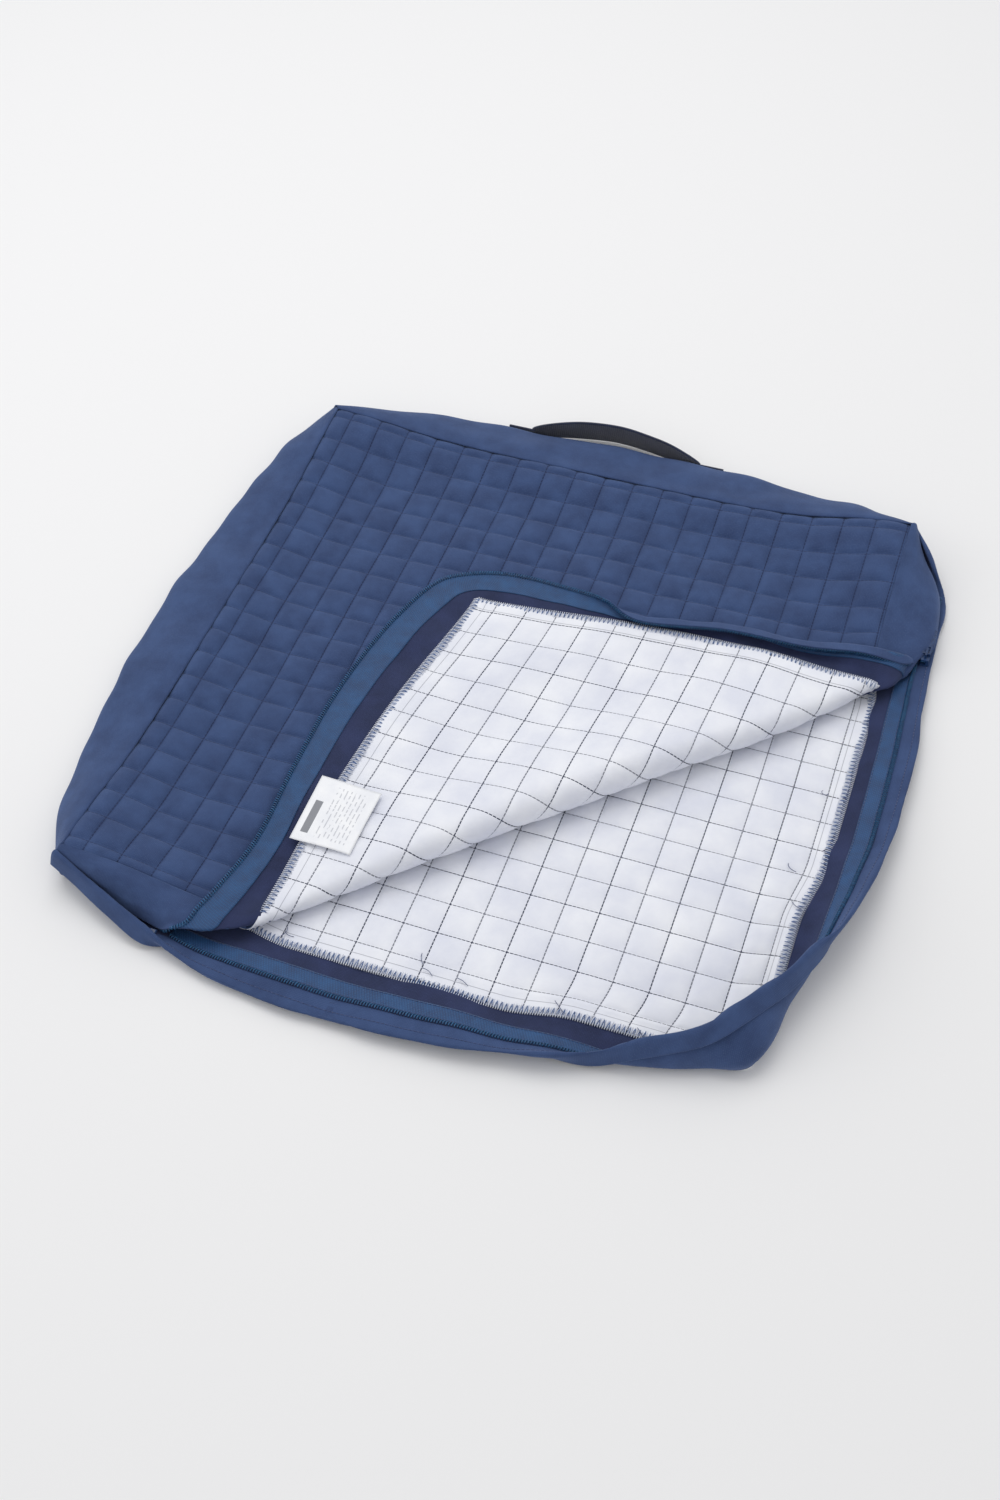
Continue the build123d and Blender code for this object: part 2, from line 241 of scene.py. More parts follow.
def backing_cloth(name, origin):
    """White backing with navy rows; `origin` is where one row lies on each axis, in mm."""
    material, tree, shader = new_material(name, roughness=0.75, ior=1.5, sheen_weight=0.15)
    cloth = add_node(tree, "ShaderNodeUVMap", {"uv_map": "cloth"}).outputs[0]
    colour = mottled(tree, cloth, "#dfe2ee", "#eef0f7", 22.0)
    rows = combine(tree, "MAXIMUM", stitched_rows(tree, cloth, "X", origin[0]),
                   stitched_rows(tree, cloth, "Y", origin[1]))
    parts = add_node(tree, "ShaderNodeSeparateXYZ", {}, {}, {"Vector": cloth})
    for axis in "XY":
        off = combine(tree, "SUBTRACT", combine(tree, "ABSOLUTE", parts.outputs[axis], 0), half * MM)
        seam = combine(tree, "LESS_THAN", combine(tree, "ABSOLUTE", off, 0), thread_width * 0.35 * MM)
        rows = combine(tree, "MAXIMUM", rows, combine(tree, "MULTIPLY", seam, 0.4))
    colour = shade(tree, colour, rows, "#1c2644")
    tree.links.new(colour, shader.inputs["Base Color"])
    fine = add_node(tree, "ShaderNodeTexNoise", {}, {"Scale": 420.0, "Detail": 3.0}, {"Vector": cloth})
    raised = combine(tree, "ADD", fine.outputs["Fac"], combine(tree, "MULTIPLY", rows, 1.5))
    bump(tree, shader, raised, 0.12, 0.7)
    return material


def quilted_canvas(name, origin):
    """The navy face with the same rows sewn through it, in thread of its own colour."""
    material = canvas.copy()
    material.name = name
    tree = material.node_tree
    shader = tree.nodes["Principled BSDF"]
    cloth = add_node(tree, "ShaderNodeUVMap", {"uv_map": "cloth"}).outputs[0]
    rows = combine(tree, "MAXIMUM", stitched_rows(tree, cloth, "X", origin[0]),
                   stitched_rows(tree, cloth, "Y", origin[1]))
    plain = shader.inputs["Base Color"].links[0].from_socket
    colour = shade(tree, plain, combine(tree, "MULTIPLY", rows, 0.75), "#131b3c")
    tree.links.new(colour, shader.inputs["Base Color"])
    return material


# where one row lies on each axis, in mm from the middle of the panel
bottom_rows = (246.5, -241.0)
top_rows = (-234.0, -241.0)
bottom_white = backing_cloth("polycotton_backing_quilted_bottom", bottom_rows)
top_white = backing_cloth("polycotton_backing_quilted_top", top_rows)
top_navy = quilted_canvas("cotton_canvas_navy_quilted_top", top_rows)
bottom_navy = quilted_canvas("cotton_canvas_navy_quilted_bottom", bottom_rows)
print("rows every", cell, "mm")

# %% [markdown]
# ## Zip tape, nylon coil and enamelled slider
# The tape is a dense herringbone of polyester, which keeps a brighter, cooler blue than the cotton and a
# slight shine. The coil is a moulded nylon spiral, smoother still. The slider is die-cast zinc with a
# sprayed and baked enamel in the tape's colour.

# %% Zip materials
def zip_tape_weave(name):
    """Polyester tape: fine ribs along it, broken by a herringbone, drawn coarser than its 0.6 mm."""
    material, tree, shader = new_material(name, roughness=0.62, ior=1.55, sheen_weight=0.1)
    cloth = add_node(tree, "ShaderNodeUVMap", {"uv_map": "cloth"}).outputs[0]
    rib_gap, slant_gap, slant_turn = 1.3, 1.7, 28
    weave = combine(tree, "MULTIPLY", threads(tree, cloth, rib_gap, 90),
                    threads(tree, cloth, slant_gap, slant_turn))
    dyed = mottled(tree, cloth, "#06305f", "#0c4376", 70.0)
    colour = shade(tree, dyed, combine(tree, "MULTIPLY", weave, 0.45), "#2468a0")
    tree.links.new(colour, shader.inputs["Base Color"])
    bump(tree, shader, weave, 0.22, 0.8)
    return material


def smooth_plastic(name, dark, light, roughness, ior, scale, metallic=0.0):
    """A moulded or sprayed surface with faint unevenness in colour and gloss."""
    material, tree, shader = new_material(name, roughness=roughness, ior=ior, metallic=metallic)
    place = add_node(tree, "ShaderNodeTexCoord").outputs["Object"]
    tree.links.new(mottled(tree, place, dark, light, scale), shader.inputs["Base Color"])
    grain = add_node(tree, "ShaderNodeTexNoise", {}, {"Scale": scale * 3, "Detail": 3.0}, {"Vector": place})
    rough = add_node(tree, "ShaderNodeMapRange", {}, {"To Min": roughness - 0.08, "To Max": roughness + 0.08},
                     {"Value": grain.outputs["Fac"]})
    tree.links.new(rough.outputs["Result"], shader.inputs["Roughness"])
    bump(tree, shader, grain.outputs["Fac"], 0.04, 0.5)
    return material


tape_blue = zip_tape_weave("polyester_zip_tape_blue")
coil_nylon = smooth_plastic("nylon_coil_blue", "#123c66", "#296493", 0.34, 1.53, 400.0)
enamel = smooth_plastic("enamelled_zinc_navy", "#1c3155", "#27426e", 0.3, 1.5, 300.0)
print("zip materials made")

# %% [markdown]
# ## Webbing, overlock thread, label satin
# The handle is cotton webbing, ribbed along its length and very dark. Overlock thread is textured
# polyester: white loops over the edge with a blue zigzag inside it, and navy thread sews everything else.
# The label is polyester satin, smooth and slightly glossy, and its print is left as plain grey bars.

# %% Webbing, thread and satin
def ribbed_webbing(name):
    """Webbing: ribs 1.4 mm apart along the strap, crossed by the weft."""
    material, tree, shader = new_material(name, roughness=0.85, ior=1.47, sheen_weight=0.3,
                                          sheen_roughness=0.5)
    cloth = add_node(tree, "ShaderNodeUVMap", {"uv_map": "cloth"}).outputs[0]
    rib_gap, weft_gap = 1.4, 1.8
    ribs, weft = threads(tree, cloth, rib_gap, 90), threads(tree, cloth, weft_gap, 0)
    weave = combine(tree, "MULTIPLY", ribs, combine(tree, "ADD", 0.4, combine(tree, "MULTIPLY", weft, 0.6)))
    dyed = mottled(tree, cloth, "#141b33", "#1d2643", 60.0)
    colour = shade(tree, dyed, combine(tree, "MULTIPLY", weave, 0.5), "#34405f")
    tree.links.new(colour, shader.inputs["Base Color"])
    bump(tree, shader, weave, 0.35, 0.9)
    return material


def twisted_thread(name, dark, light):
    """Sewing thread: two plies twisted together, matt with a soft shine."""
    material, tree, shader = new_material(name, roughness=0.6, ior=1.5, sheen_weight=0.3)
    place = add_node(tree, "ShaderNodeTexCoord").outputs["Object"]
    twist = add_node(tree, "ShaderNodeTexWave", {"bands_direction": "DIAGONAL"},
                     {"Scale": 500.0, "Distortion": 1.0}, {"Vector": place})
    colour = shade(tree, mottled(tree, place, dark, light, 500.0),
                   combine(tree, "MULTIPLY", twist.outputs["Fac"], 0.3), light)
    tree.links.new(colour, shader.inputs["Base Color"])
    bump(tree, shader, twist.outputs["Fac"], 0.08)
    return material


def printed_satin(name, width, height):
    """Satin with a few plain bars of grey ink, with no lettering; the cloth's UV runs along the label."""
    material, tree, shader = new_material(name, roughness=0.42, ior=1.5, sheen_weight=0.2)
    cloth = add_node(tree, "ShaderNodeUVMap", {"uv_map": "cloth"}).outputs[0]
    parts = add_node(tree, "ShaderNodeSeparateXYZ", {}, {}, {"Vector": cloth})
    across, along = parts.outputs["X"], parts.outputs["Y"]
    line_gap = 3.4         # mm from one printed line to the next
    step = combine(tree, "FRACT", combine(tree, "DIVIDE", across, line_gap * MM), 0)
    line = combine(tree, "LESS_THAN", step, 0.3)
    ragged = add_node(tree, "ShaderNodeTexNoise", {}, {"Scale": 260.0, "Detail": 1.0}, {"Vector": cloth})
    ink = combine(tree, "MULTIPLY", line, combine(tree, "GREATER_THAN", ragged.outputs["Fac"], 0.47))

    def between(value, low, high):
        """1 where the value lies between two places in mm."""
        return combine(tree, "MULTIPLY", combine(tree, "GREATER_THAN", value, low * MM),
                       combine(tree, "LESS_THAN", value, high * MM))

    inner = combine(tree, "MULTIPLY", between(across, 15, width - 5), between(along, 6, height - 6))
    block = combine(tree, "MULTIPLY", between(across, 5, 11), between(along, 8, height - 22))
    colour = mottled(tree, cloth, "#eceef4", "#f6f7fa", 60.0)
    ink = combine(tree, "MULTIPLY", combine(tree, "MULTIPLY", ink, inner), 0.45)
    colour = shade(tree, colour, ink, "#8a8f9c")
    colour = shade(tree, colour, combine(tree, "MULTIPLY", block, 0.8), "#4a4f5c")
    tree.links.new(colour, shader.inputs["Base Color"])
    bump(tree, shader, threads(tree, cloth, 0.9, 0), 0.05, 0.6)
    return material


webbing = ribbed_webbing("cotton_webbing_navy")
thread_white = twisted_thread("polyester_thread_white", "#c9d0e2", "#e9ecf5")
thread_navy = twisted_thread("polyester_thread_navy", "#1f2c55", "#33487c")
thread_blue = twisted_thread("polyester_thread_blue", "#2b4880", "#4a6fa6")
label_wide, label_long = label_high.x - label_low.x, label_high.y - label_low.y
satin = printed_satin("polyester_satin_printed", label_wide, label_long)
print("soft materials made")

# %% [markdown]
# ## Tools for cloth
# Cloth is a thin sheet, so each piece is a grid of points in space given a thickness along its normals.
# A *rail* is a smooth line through a few given points, in order along the seam. Several rails side by
# side, such as a seam, a crease and a hem, give the sheet its cross-section, and a smooth surface is drawn
# through all of them. That is much like draping cloth over a few wires.

# %% Curves and grids
def smooth(points, count):
    """A Catmull-Rom curve through the points of the first axis, sampled `count` times."""
    points = np.asarray(points, float)
    ends = np.concatenate([2 * points[:1] - points[1:2], points, 2 * points[-1:] - points[-2:-1]])
    place = np.linspace(0, len(points) - 1, count)
    k = np.minimum(place.astype(int), len(points) - 2)
    f = (place - k).reshape(-1, *[1] * (points.ndim - 1))
    p0, p1, p2, p3 = ends[k], ends[k + 1], ends[k + 2], ends[k + 3]
    return 0.5 * (2 * p1 + (p2 - p0) * f + (2 * p0 - 5 * p1 + 4 * p2 - p3) * f ** 2
                  + (3 * p1 - p0 - 3 * p2 + p3) * f ** 3)


def lengths(line):
    """The distance along a line of points, from its start to each point."""
    return np.concatenate([[0], np.cumsum(np.linalg.norm(np.diff(line, axis=0), axis=1))])


def evenly(line, count):
    """The same line with evenly spaced points."""
    run = lengths(line)
    spots = np.linspace(0, run[-1], count)
    return np.stack([np.interp(spots, run, line[:, k]) for k in range(3)], 1)


def rail_sheet(rails, along, across):
    """A grid of points through rails: rails[r][station] is a point, and every rail has the same stations."""
    lines = smooth(np.asarray(rails, float).transpose(1, 0, 2), along)
    grid = smooth(lines.transpose(1, 0, 2), across)
    return np.stack([evenly(line, across) for line in grid.transpose(1, 0, 2)])


def normals(grid):
    """The unit normal at each point of a grid."""
    n = np.cross(np.gradient(grid, axis=0), np.gradient(grid, axis=1))
    return n / np.maximum(np.linalg.norm(n, axis=2, keepdims=True), 1e-9)


def waves(grid, scale, seed):
    """Smooth random hills between about -1 and 1 over a grid's points, `scale` mm from hill to hill."""
    draw = np.random.default_rng(seed)
    total = np.zeros(grid.shape[:2])
    for _ in range(7):
        way = draw.normal(size=3)
        way *= 2 * pi / scale / np.linalg.norm(way) * draw.uniform(0.6, 1.5)
        total += np.sin(grid @ way + draw.uniform(0, 2 * pi))
    return total / 3.0


def wrinkled(grid, height, scale, seed, pinned=(0, 0)):
    """Pushes a grid along its normals by random waves, fading to nothing at its pinned long edges."""
    v = np.linspace(0, 1, grid.shape[1])
    fade = np.ones_like(v)
    if pinned[0]:
        fade *= np.clip(v / pinned[0], 0, 1)
    if pinned[1]:
        fade *= np.clip((1 - v) / pinned[1], 0, 1)
    return grid + normals(grid) * (waves(grid, scale, seed) * height * fade)[..., None]


# %% [markdown]
# ## From grid to mesh
# `sheet` makes a closed slab from a grid: the upper side, the lower side and a rim. It stores the cloth's
# own coordinates, in metres, in a UV map, so that a weave runs with the cloth whatever way it is folded.

# %% Meshes
def quad_mesh(name, points, quads, material, cloth=None):
    """A smooth mesh from points in mm and four-cornered faces."""
    mesh = bpy.data.meshes.new(name)
    quads = np.asarray(quads, np.int32)
    mesh.vertices.add(len(points))
    mesh.vertices.foreach_set("co", (np.asarray(points) * MM).astype(np.float32).ravel())
    mesh.loops.add(quads.size)
    mesh.loops.foreach_set("vertex_index", quads.ravel())
    mesh.polygons.add(len(quads))
    mesh.polygons.foreach_set("loop_start", np.arange(0, quads.size, 4, dtype=np.int32))
    mesh.polygons.foreach_set("use_smooth", np.ones(len(quads), bool))
    mesh.update(calc_edges=True)
    mesh.validate()
    if cloth is not None:
        layer = mesh.uv_layers.new(name="cloth")
        layer.data.foreach_set("uv", (cloth[quads.ravel()] * MM).astype(np.float32).ravel())
    mesh.materials.append(material)
    piece = bpy.data.objects.new(name, mesh)
    bpy.context.scene.collection.objects.link(piece)
    return piece


def grid_faces(n, m):
    """The faces of a closed slab of two n by m grids, the upper one first."""
    at = np.arange(n * m).reshape(n, m)
    upper = np.stack([at[:-1, :-1], at[1:, :-1], at[1:, 1:], at[:-1, 1:]], -1).reshape(-1, 4)
    ring = np.concatenate([at[0, :-1], at[:-1, -1], at[-1, :0:-1], at[:0:-1, 0]])
    after = np.roll(ring, -1)
    rim = np.stack([ring, after, after + n * m, ring + n * m], 1)
    return np.concatenate([upper, upper[:, ::-1] + n * m, rim])


def sheet(name, grid, material, over, under, cloth=None, other=None):
    """A slab round a grid, from `under` mm below it to `over` mm above it along its normals.

    `other` gives a second material and the share of the width, from the first long edge, where it covers
    one side: a negative share means the under side."""
    n, m, _ = grid.shape
    up_way = normals(grid)
    over, under = (np.broadcast_to(t, (n, m))[..., None] for t in (over, under))
    points = np.concatenate([(grid + up_way * over).reshape(-1, 3), (grid - up_way * under).reshape(-1, 3)])
    if cloth is None:
        middle = lengths(grid[:, m // 2])
        wide = lengths(grid[n // 2])
        cloth = np.stack(np.meshgrid(middle, wide, indexing="ij"), -1)
    flat = cloth.reshape(-1, 2)
    piece = quad_mesh(name, points, grid_faces(n, m), material, np.concatenate([flat, flat]))
    if other:
        second, share = other
        piece.data.materials.append(second)
        side_faces = (n - 1) * (m - 1)
        index = np.zeros(len(piece.data.polygons), np.int32)
        chosen = (np.arange(side_faces) % (m - 1)) < abs(share) * (m - 1)
        start = side_faces if share < 0 else 0
        index[start:start + side_faces] = chosen
        piece.data.polygons.foreach_set("material_index", index)
    return piece


def cords(name, lines, radius, material):
    """One mesh of round threads, each following its own line of points, with capped ends."""
    sides = 6
    points, quads, base = [], [], 0
    angles = np.linspace(0, 2 * pi, sides, endpoint=False)
    for line in lines:
        line = np.asarray(line, float)
        n = len(line)
        ahead = np.gradient(line, axis=0)
        ahead /= np.maximum(np.linalg.norm(ahead, axis=1, keepdims=True), 1e-9)
        side_way = np.cross(ahead, (0.13, 0.21, 0.97))
        side_way /= np.maximum(np.linalg.norm(side_way, axis=1, keepdims=True), 1e-9)
        top_way = np.cross(side_way, ahead)
        rings = line[:, None] + radius * (side_way[:, None] * np.cos(angles)[:, None]
                                          + top_way[:, None] * np.sin(angles)[:, None])
        points.append(rings.reshape(-1, 3))
        at = base + np.arange(n * sides).reshape(n, sides)
        nxt = np.roll(at, -1, 1)
        quads.append(np.stack([at[:-1], nxt[:-1], nxt[1:], at[1:]], -1).reshape(-1, 4))
        for end, order in ((at[0], -1), (at[-1], 1)):
            e = end[::order]
            quads.append(np.array([[e[0], e[1], e[2], e[3]], [e[3], e[4], e[5], e[0]]]))
        base += n * sides
    return quad_mesh(name, np.concatenate(points), np.concatenate(quads), material)


def fraction(values, low, high):
    """A smooth step from 0 at low to 1 at high."""
    t = np.clip((values - low) / (high - low), 0, 1)
    return t * t * (3 - 2 * t)


# %% [markdown]
# ## Quilting
# Quilted cloth is two cloths with wadding between, sewn together in rows. Each cell puffs up between its
# rows, and the seam pulls the cloth down into a narrow channel. The grid has more points near the rows,
# where the surface turns fast, than in the middle of a cell.

# %% Quilting relief
def cell_steps(origin, low, high):
    """Grid places across the quilting from low to high, close together at each row."""
    share = np.array([0, 0.03, 0.07, 0.13, 0.22, 0.36, 0.5, 0.64, 0.78, 0.87, 0.93, 0.97])
    first = int(np.floor((low - origin) / cell))
    last = int(np.ceil((high - origin) / cell))
    places = np.concatenate([origin + cell * (k + share) for k in range(first, last)])
    return np.concatenate([[low], places[(places > low + 0.4) & (places < high - 0.4)], [high]])


def puff(x, y, rows, sharp=2.6):
    """Height from 0 in the channels to 1 in the middle of a cell, for the cloth's coordinates."""
    height = 1.0
    for place, origin in ((x, rows[0]), (y, rows[1])):
        off = np.abs((place - origin + cell / 2) % cell - cell / 2)
        height = height * (0.72 * (1 - np.exp(-(off / sharp) ** 1.3)) + 0.28 * np.sin(pi * off / cell) ** 0.8)
    edge = np.minimum(half - np.abs(x), half - np.abs(y))
    seam = 1 - 0.85 * np.exp(-(edge / 3.0) ** 2)
    return height * seam


# %% [markdown]
# ## Bottom panel
# The bottom panel lies flat on the floor, inside up. Its raw edge is 10 mm outside the seam, and the
# gusset standing round each corner draws the edge in there. It is two quilted pieces: the navy face
# underneath, and the white backing on top with the rows sewn into it.

# %% Bottom panel
xs = cell_steps(bottom_rows[0], -raw, raw)
ys = cell_steps(bottom_rows[1], -raw, raw)
flat_x, flat_y = np.meshgrid(xs, ys, indexing="ij")
relief = puff(flat_x, flat_y, bottom_rows)
corner_round = 32.0


def drawn_in(x, y):
    """Where points of the flat panel lie: the gusset that stands round the corners draws them in."""
    ends = np.stack([np.abs(x), np.abs(y)]) - (raw - corner_round)
    both = np.minimum(ends[0], ends[1]) > 0
    tuck = np.where(both, np.max(ends, 0) / np.maximum(np.hypot(*ends), 1e-6), 1.0)
    plan = np.where(both, raw - corner_round + ends * tuck, np.stack([np.abs(x), np.abs(y)]))
    from_corner = np.hypot(np.abs(x) - half, np.abs(y) - half)
    rim = fraction(np.maximum(np.abs(x), np.abs(y)), raw - 45, raw)
    plan = plan * (1 - 8.5 / raw * rim * fraction(175 - from_corner, 0, 60))
    return np.sign(x) * plan[0], np.sign(y) * plan[1]


plan_x, plan_y = drawn_in(flat_x, flat_y)
rim_fade = fraction(raw - np.maximum(np.abs(flat_x), np.abs(flat_y)), 0, 8)
floor_grid = np.stack([plan_x, plan_y, np.full_like(flat_x, 2.0)], -1)
floor_grid[..., 2] += 0.4 * waves(floor_grid, 130, 3) + 0.2
cloth_at = np.stack([flat_x, flat_y], -1)
bottom_back = sheet("bottom_backing_quilted", floor_grid, bottom_white,
                    0.5 + 1.5 * relief * rim_fade, 0.0, cloth_at)
bottom_cloth = sheet("bottom_face_quilted", floor_grid, bottom_navy, 0.0,
                     np.clip(0.5 + 1.3 * relief * rim_fade, 0, floor_grid[..., 2] - 0.05), cloth_at)
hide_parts("bottom_backing", "bottom_wadding")
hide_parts("bottom_face")
for piece, slot_name in ((bottom_back, "white_lining"), (bottom_cloth, "navy_cotton")):
    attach(piece, "cover")
print("bottom panel:", len(bottom_back.data.vertices), "points")

# %% [markdown]
# ## How the top panel lies
# The empty cover has collapsed. Away from the seams the top panel rests on the layers below it. Along the
# seams the folded gusset holds it up a little, and at the corners, where two gussets meet, it stands up.
# `rest_level` gives that height for any place, so the flap, the gusset and the zip can all lie on it.

# %% The resting level
low_level = 9.0
corner_lifts = (((-half, half), 12.0), ((half, half), 20.0), ((-half, -half), 16.0))


def rest_level(x, y):
    """Height of the middle of the top panel where it lies on the rest of the cover."""
    x, y = np.asarray(x, float), np.asarray(y, float)
    ridges = [
        (x + half, 1.0),
        (half - y, 1.0),
        (half - x, fraction(y, 60, 150)),
        (y + half, fraction(-x, 110, 200)),
    ]
    flat = 1.0
    for off, window in ridges:
        flat = flat * (1 - window * np.exp(-(np.maximum(off, 0) / 32) ** 2))
    level = low_level + 9.0 * (1 - flat)
    for (cx, cy), lift in corner_lifts:
        level = level + lift * np.exp(-((x - cx) ** 2 + (y - cy) ** 2) / (2 * 52.0 ** 2))
    return level


fold_start = np.array([-95.0, -251.0])
fold_end = np.array([265.0, 84.0])
fold_long = np.linalg.norm(fold_end - fold_start)
fold_way = (fold_end - fold_start) / fold_long
outward = np.array([fold_way[1], -fold_way[0]])


def roll_radius(t):
    """Radius of the roll at the fold: tight at the two ends, where the seams pinch it."""
    share = np.clip(t / fold_long, 0, 1)
    return 3.5 + 9.5 * np.sin(pi * share) ** 0.8


print("fold line", round(fold_long), "mm long; level at the middle", round(float(rest_level(0, 0)), 1))

# %% [markdown]
# ## Where a point of the top panel goes
# `lay` is the heart of the lesson. It takes a point of the flat top panel, as it would lie on a closed
# cushion, and says where it is now. Before the fold it stays in place. Round the fold it follows a half
# circle. After the fold it comes back over itself, upside down, and settles onto the panel below.

# %% Lay the top panel
stack = 6.8                # mm between the middles of the two quilted layers where they touch
corner_pull = np.array([8.0, -13.0])


def lay(x, y):
    """Places points of the flat top panel in space, with the front-right corner folded back."""
    x, y = np.asarray(x, float), np.asarray(y, float)
    dx, dy = x - fold_start[0], y - fold_start[1]
    s = dx * outward[0] + dy * outward[1]
    t = dx * fold_way[0] + dy * fold_way[1]
    r = roll_radius(t)
    turn = np.clip((s + r) / r, 0, pi)
    after = np.maximum(s - (pi - 1) * r, 0)
    # how far across the fold the point ends up: before it, on the half circle, or folded back
    across = np.where(s < -r, s, -r + r * np.sin(turn) - after)
    px = fold_start[0] + t * fold_way[0] + across * outward[0]
    py = fold_start[1] + t * fold_way[1] + across * outward[1]
    # the folded part bows out a little along both raw edges, and its corner is pulled forward
    a = np.clip((half - x) / (half - fold_start[0]), 0, 1)
    b = np.clip((y + half) / (half + fold_end[1]), 0, 1)
    loose = fraction(after, 0, 60)
    px = px - loose * 8.0 * 4 * a * (1 - a) * np.exp(-(y + raw) / 110)
    py = py + loose * 11.0 * 4 * b * (1 - b) * np.exp(-(raw - x) / 110)
    near = loose * np.exp(-((half - x) ** 2 + (y + half) ** 2) / (2 * 65.0 ** 2))
    px, py = px + near * corner_pull[0], py + near * corner_pull[1]
    # the far end of the fold is drawn back, and the raw edge near it more so
    drawn = fraction(t, fold_long - 110 - 90 * loose, fold_long + 5) * fraction(s, -70, -r)
    px, py = px + 2.0 * drawn, py + 15.0 * drawn
    base = rest_level(px, py)
    rise = r * (1 - np.cos(turn))
    settle = 1 - fraction(after, 0, 75)
    folded = base + stack + np.maximum(2 * r - stack, 0) * settle + 5.0 * near
    z = np.where(turn < pi, base + rise * np.maximum(stack, 2 * r) / (2 * r), folded)
    # the part that stays down: its seam allowance turns down inside the gusset
    flatness = fraction(-s, 8, 30)
    for over, axis in ((np.maximum(-half - y, 0), 1), (np.maximum(x - half, 0), 0),
                       (np.maximum(y - half, 0), 1), (np.maximum(-half - x, 0), 0)):
        z = z - over * flatness * 0.9
    px = np.where(s < 0, np.clip(px, -half - 1 - 9 * (1 - flatness), half + 1 + 9 * (1 - flatness)), px)
    py = np.where(s < 0, np.clip(py, -half - 1 - 9 * (1 - flatness), half + 1 + 9 * (1 - flatness)), py)
    return np.stack([px, py, z], -1)


edge_x = cell_steps(top_rows[0], -half - 4, raw)
edge_y = cell_steps(top_rows[1], -raw, half + 4)
top_x, top_y = np.meshgrid(edge_x, edge_y, indexing="ij")
top_grid = lay(top_x, top_y)
print("top panel spans", np.round(top_grid.min((0, 1))), np.round(top_grid.max((0, 1))))

# %% [markdown]
# ## Top panel
# The face and the backing share the same middle surface, so they can't cut through each other. Loose
# cloth is never quite flat, so low waves are added first. The part past the fold is the flap, and the
# panel is made where it lies, folded.

# %% Make the top panel
relief = puff(top_x, top_y, top_rows)
top_grid[..., 2] += 0.7 * waves(np.stack([top_x, top_y, 0 * top_x], -1), 90, 11)
edge_gap = np.minimum(raw - top_x, top_y + raw)
thin = fraction(edge_gap, 0, 7)
cloth_at = np.stack([top_x, top_y], -1)


def blend_by_flat(piece, flat):
    """Puts a piece on its flat points, in mm, bakes its transform there, and leaves it laid."""
    laid = np.empty(len(piece.data.vertices) * 3, np.float32)
    piece.data.vertices.foreach_get("co", laid)
    piece.data.vertices.foreach_set("co", (flat * MM).astype(np.float32).ravel())
    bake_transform(piece)
    piece.data.vertices.foreach_set("co", laid)
    piece.data.update()


def folded_piece(name, material, over, under):
    """A slab on the top panel's laid grid, passed through `blend_by_flat` with its flat points."""
    piece = sheet(name, top_grid, material, over, under, cloth_at)
    flat = np.stack([top_x.ravel(), top_y.ravel(), np.zeros(top_x.size)], -1)
    blend_by_flat(piece, np.concatenate([flat, flat]))
    return piece


top_cloth = folded_piece("top_face_quilted", top_navy, 0.5 + 2.9 * relief * thin, 0.0)
top_back = folded_piece("top_backing_quilted", top_white, 0.0, 0.5 + 1.2 * relief * thin)
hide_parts("top_face", "top_wadding", "flap_face", "flap_wadding")
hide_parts("top_backing", "flap_backing")
print("top panel:", len(top_cloth.data.vertices), "points")

# %% [markdown]
# ## Left and back gusset
# The gusset is the strip that makes a cushion a box. On an empty cover it folds outward along its middle,
# like the side of a paper bag, and only the corners keep it standing. Five rails describe it: the top
# seam, the upper side, the fold, the under side and the bottom seam.

# %% Closed gusset
def side_point(side, along, out, height):
    """A point beside one edge of the cover: `out` mm outward from the seam line."""
    return {
        "left": (-half - out, along, height),
        "back": (along, half + out, height),
        "right": (half + out, along, height),
        "front": (along, -half - out, height),
    }[side]


def seam_level(side, along):
    """Height of the top panel's edge on that side, where the gusset is sewn on."""
    x, y, _ = side_point(side, along, 0, 0)
    return float(rest_level(x, y)) + 1.2


def bulge(along, full, first, last):
    """How far the folded gusset reaches, growing from each corner to its full width."""
    share = (along + half) / (2 * half)
    ends = first + (last - first) * share
    return ends + (full - ends) * (sin(pi * min(max(share, 0), 1)) ** 0.55)


def closed_gusset(name, side, full, first, last, seed, material):
    """The folded gusset of one whole side: `full` mm wide in the middle, `first` and `last` at its ends."""
    rails = [[] for _ in range(7)]
    for along in np.linspace(-half, half, 13):
        top, tip = seam_level(side, along), bulge(along, full, first, last)
        for rail, (out, height) in zip(rails, (
            (0.0, top), (0.12, top + 0.4), (0.52, top * 0.86 + 1), (0.93, top * 0.55 + 2), (1.0, top * 0.33),
            (0.86, 2.2), (0.0, 1.2),
        )):
            # at a corner the two gussets meet on the diagonal
            meet = 0.75 * tip * out if abs(along) == half else 0.0
            rail.append(side_point(side, along + np.sign(along) * meet, tip * out - 0.25 * meet, height))
    grid = wrinkled(rail_sheet(rails, 150, 56), 1.3, 55, seed, (0.12, 0.12))
    grid[..., 2] = np.maximum(grid[..., 2], 0.7)
    piece = sheet(name, grid, material, 0.5, 0.5)
    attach(piece, "cover")
    return piece


left_gusset = closed_gusset("left_gusset_folded", "left", 53.0, 8.0, 16.0, 21, canvas)
back_gusset = closed_gusset("back_gusset_folded", "back", 50.0, 16.0, 10.0, 22, canvas)
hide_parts("left_gusset")
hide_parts("back_gusset")
print("closed gussets made")

# %% [markdown]
# ## Lower half of the gusset, front and right
# Below the zip the gusset is open. It lies outward from the bottom seam, inside up, with the zip tape sewn
# along it and a doubled lap of cloth beyond the teeth. Only the corner stands up, because the strip is
# sewn round a right angle. The rails run from the closed front-left corner to the back-right one.

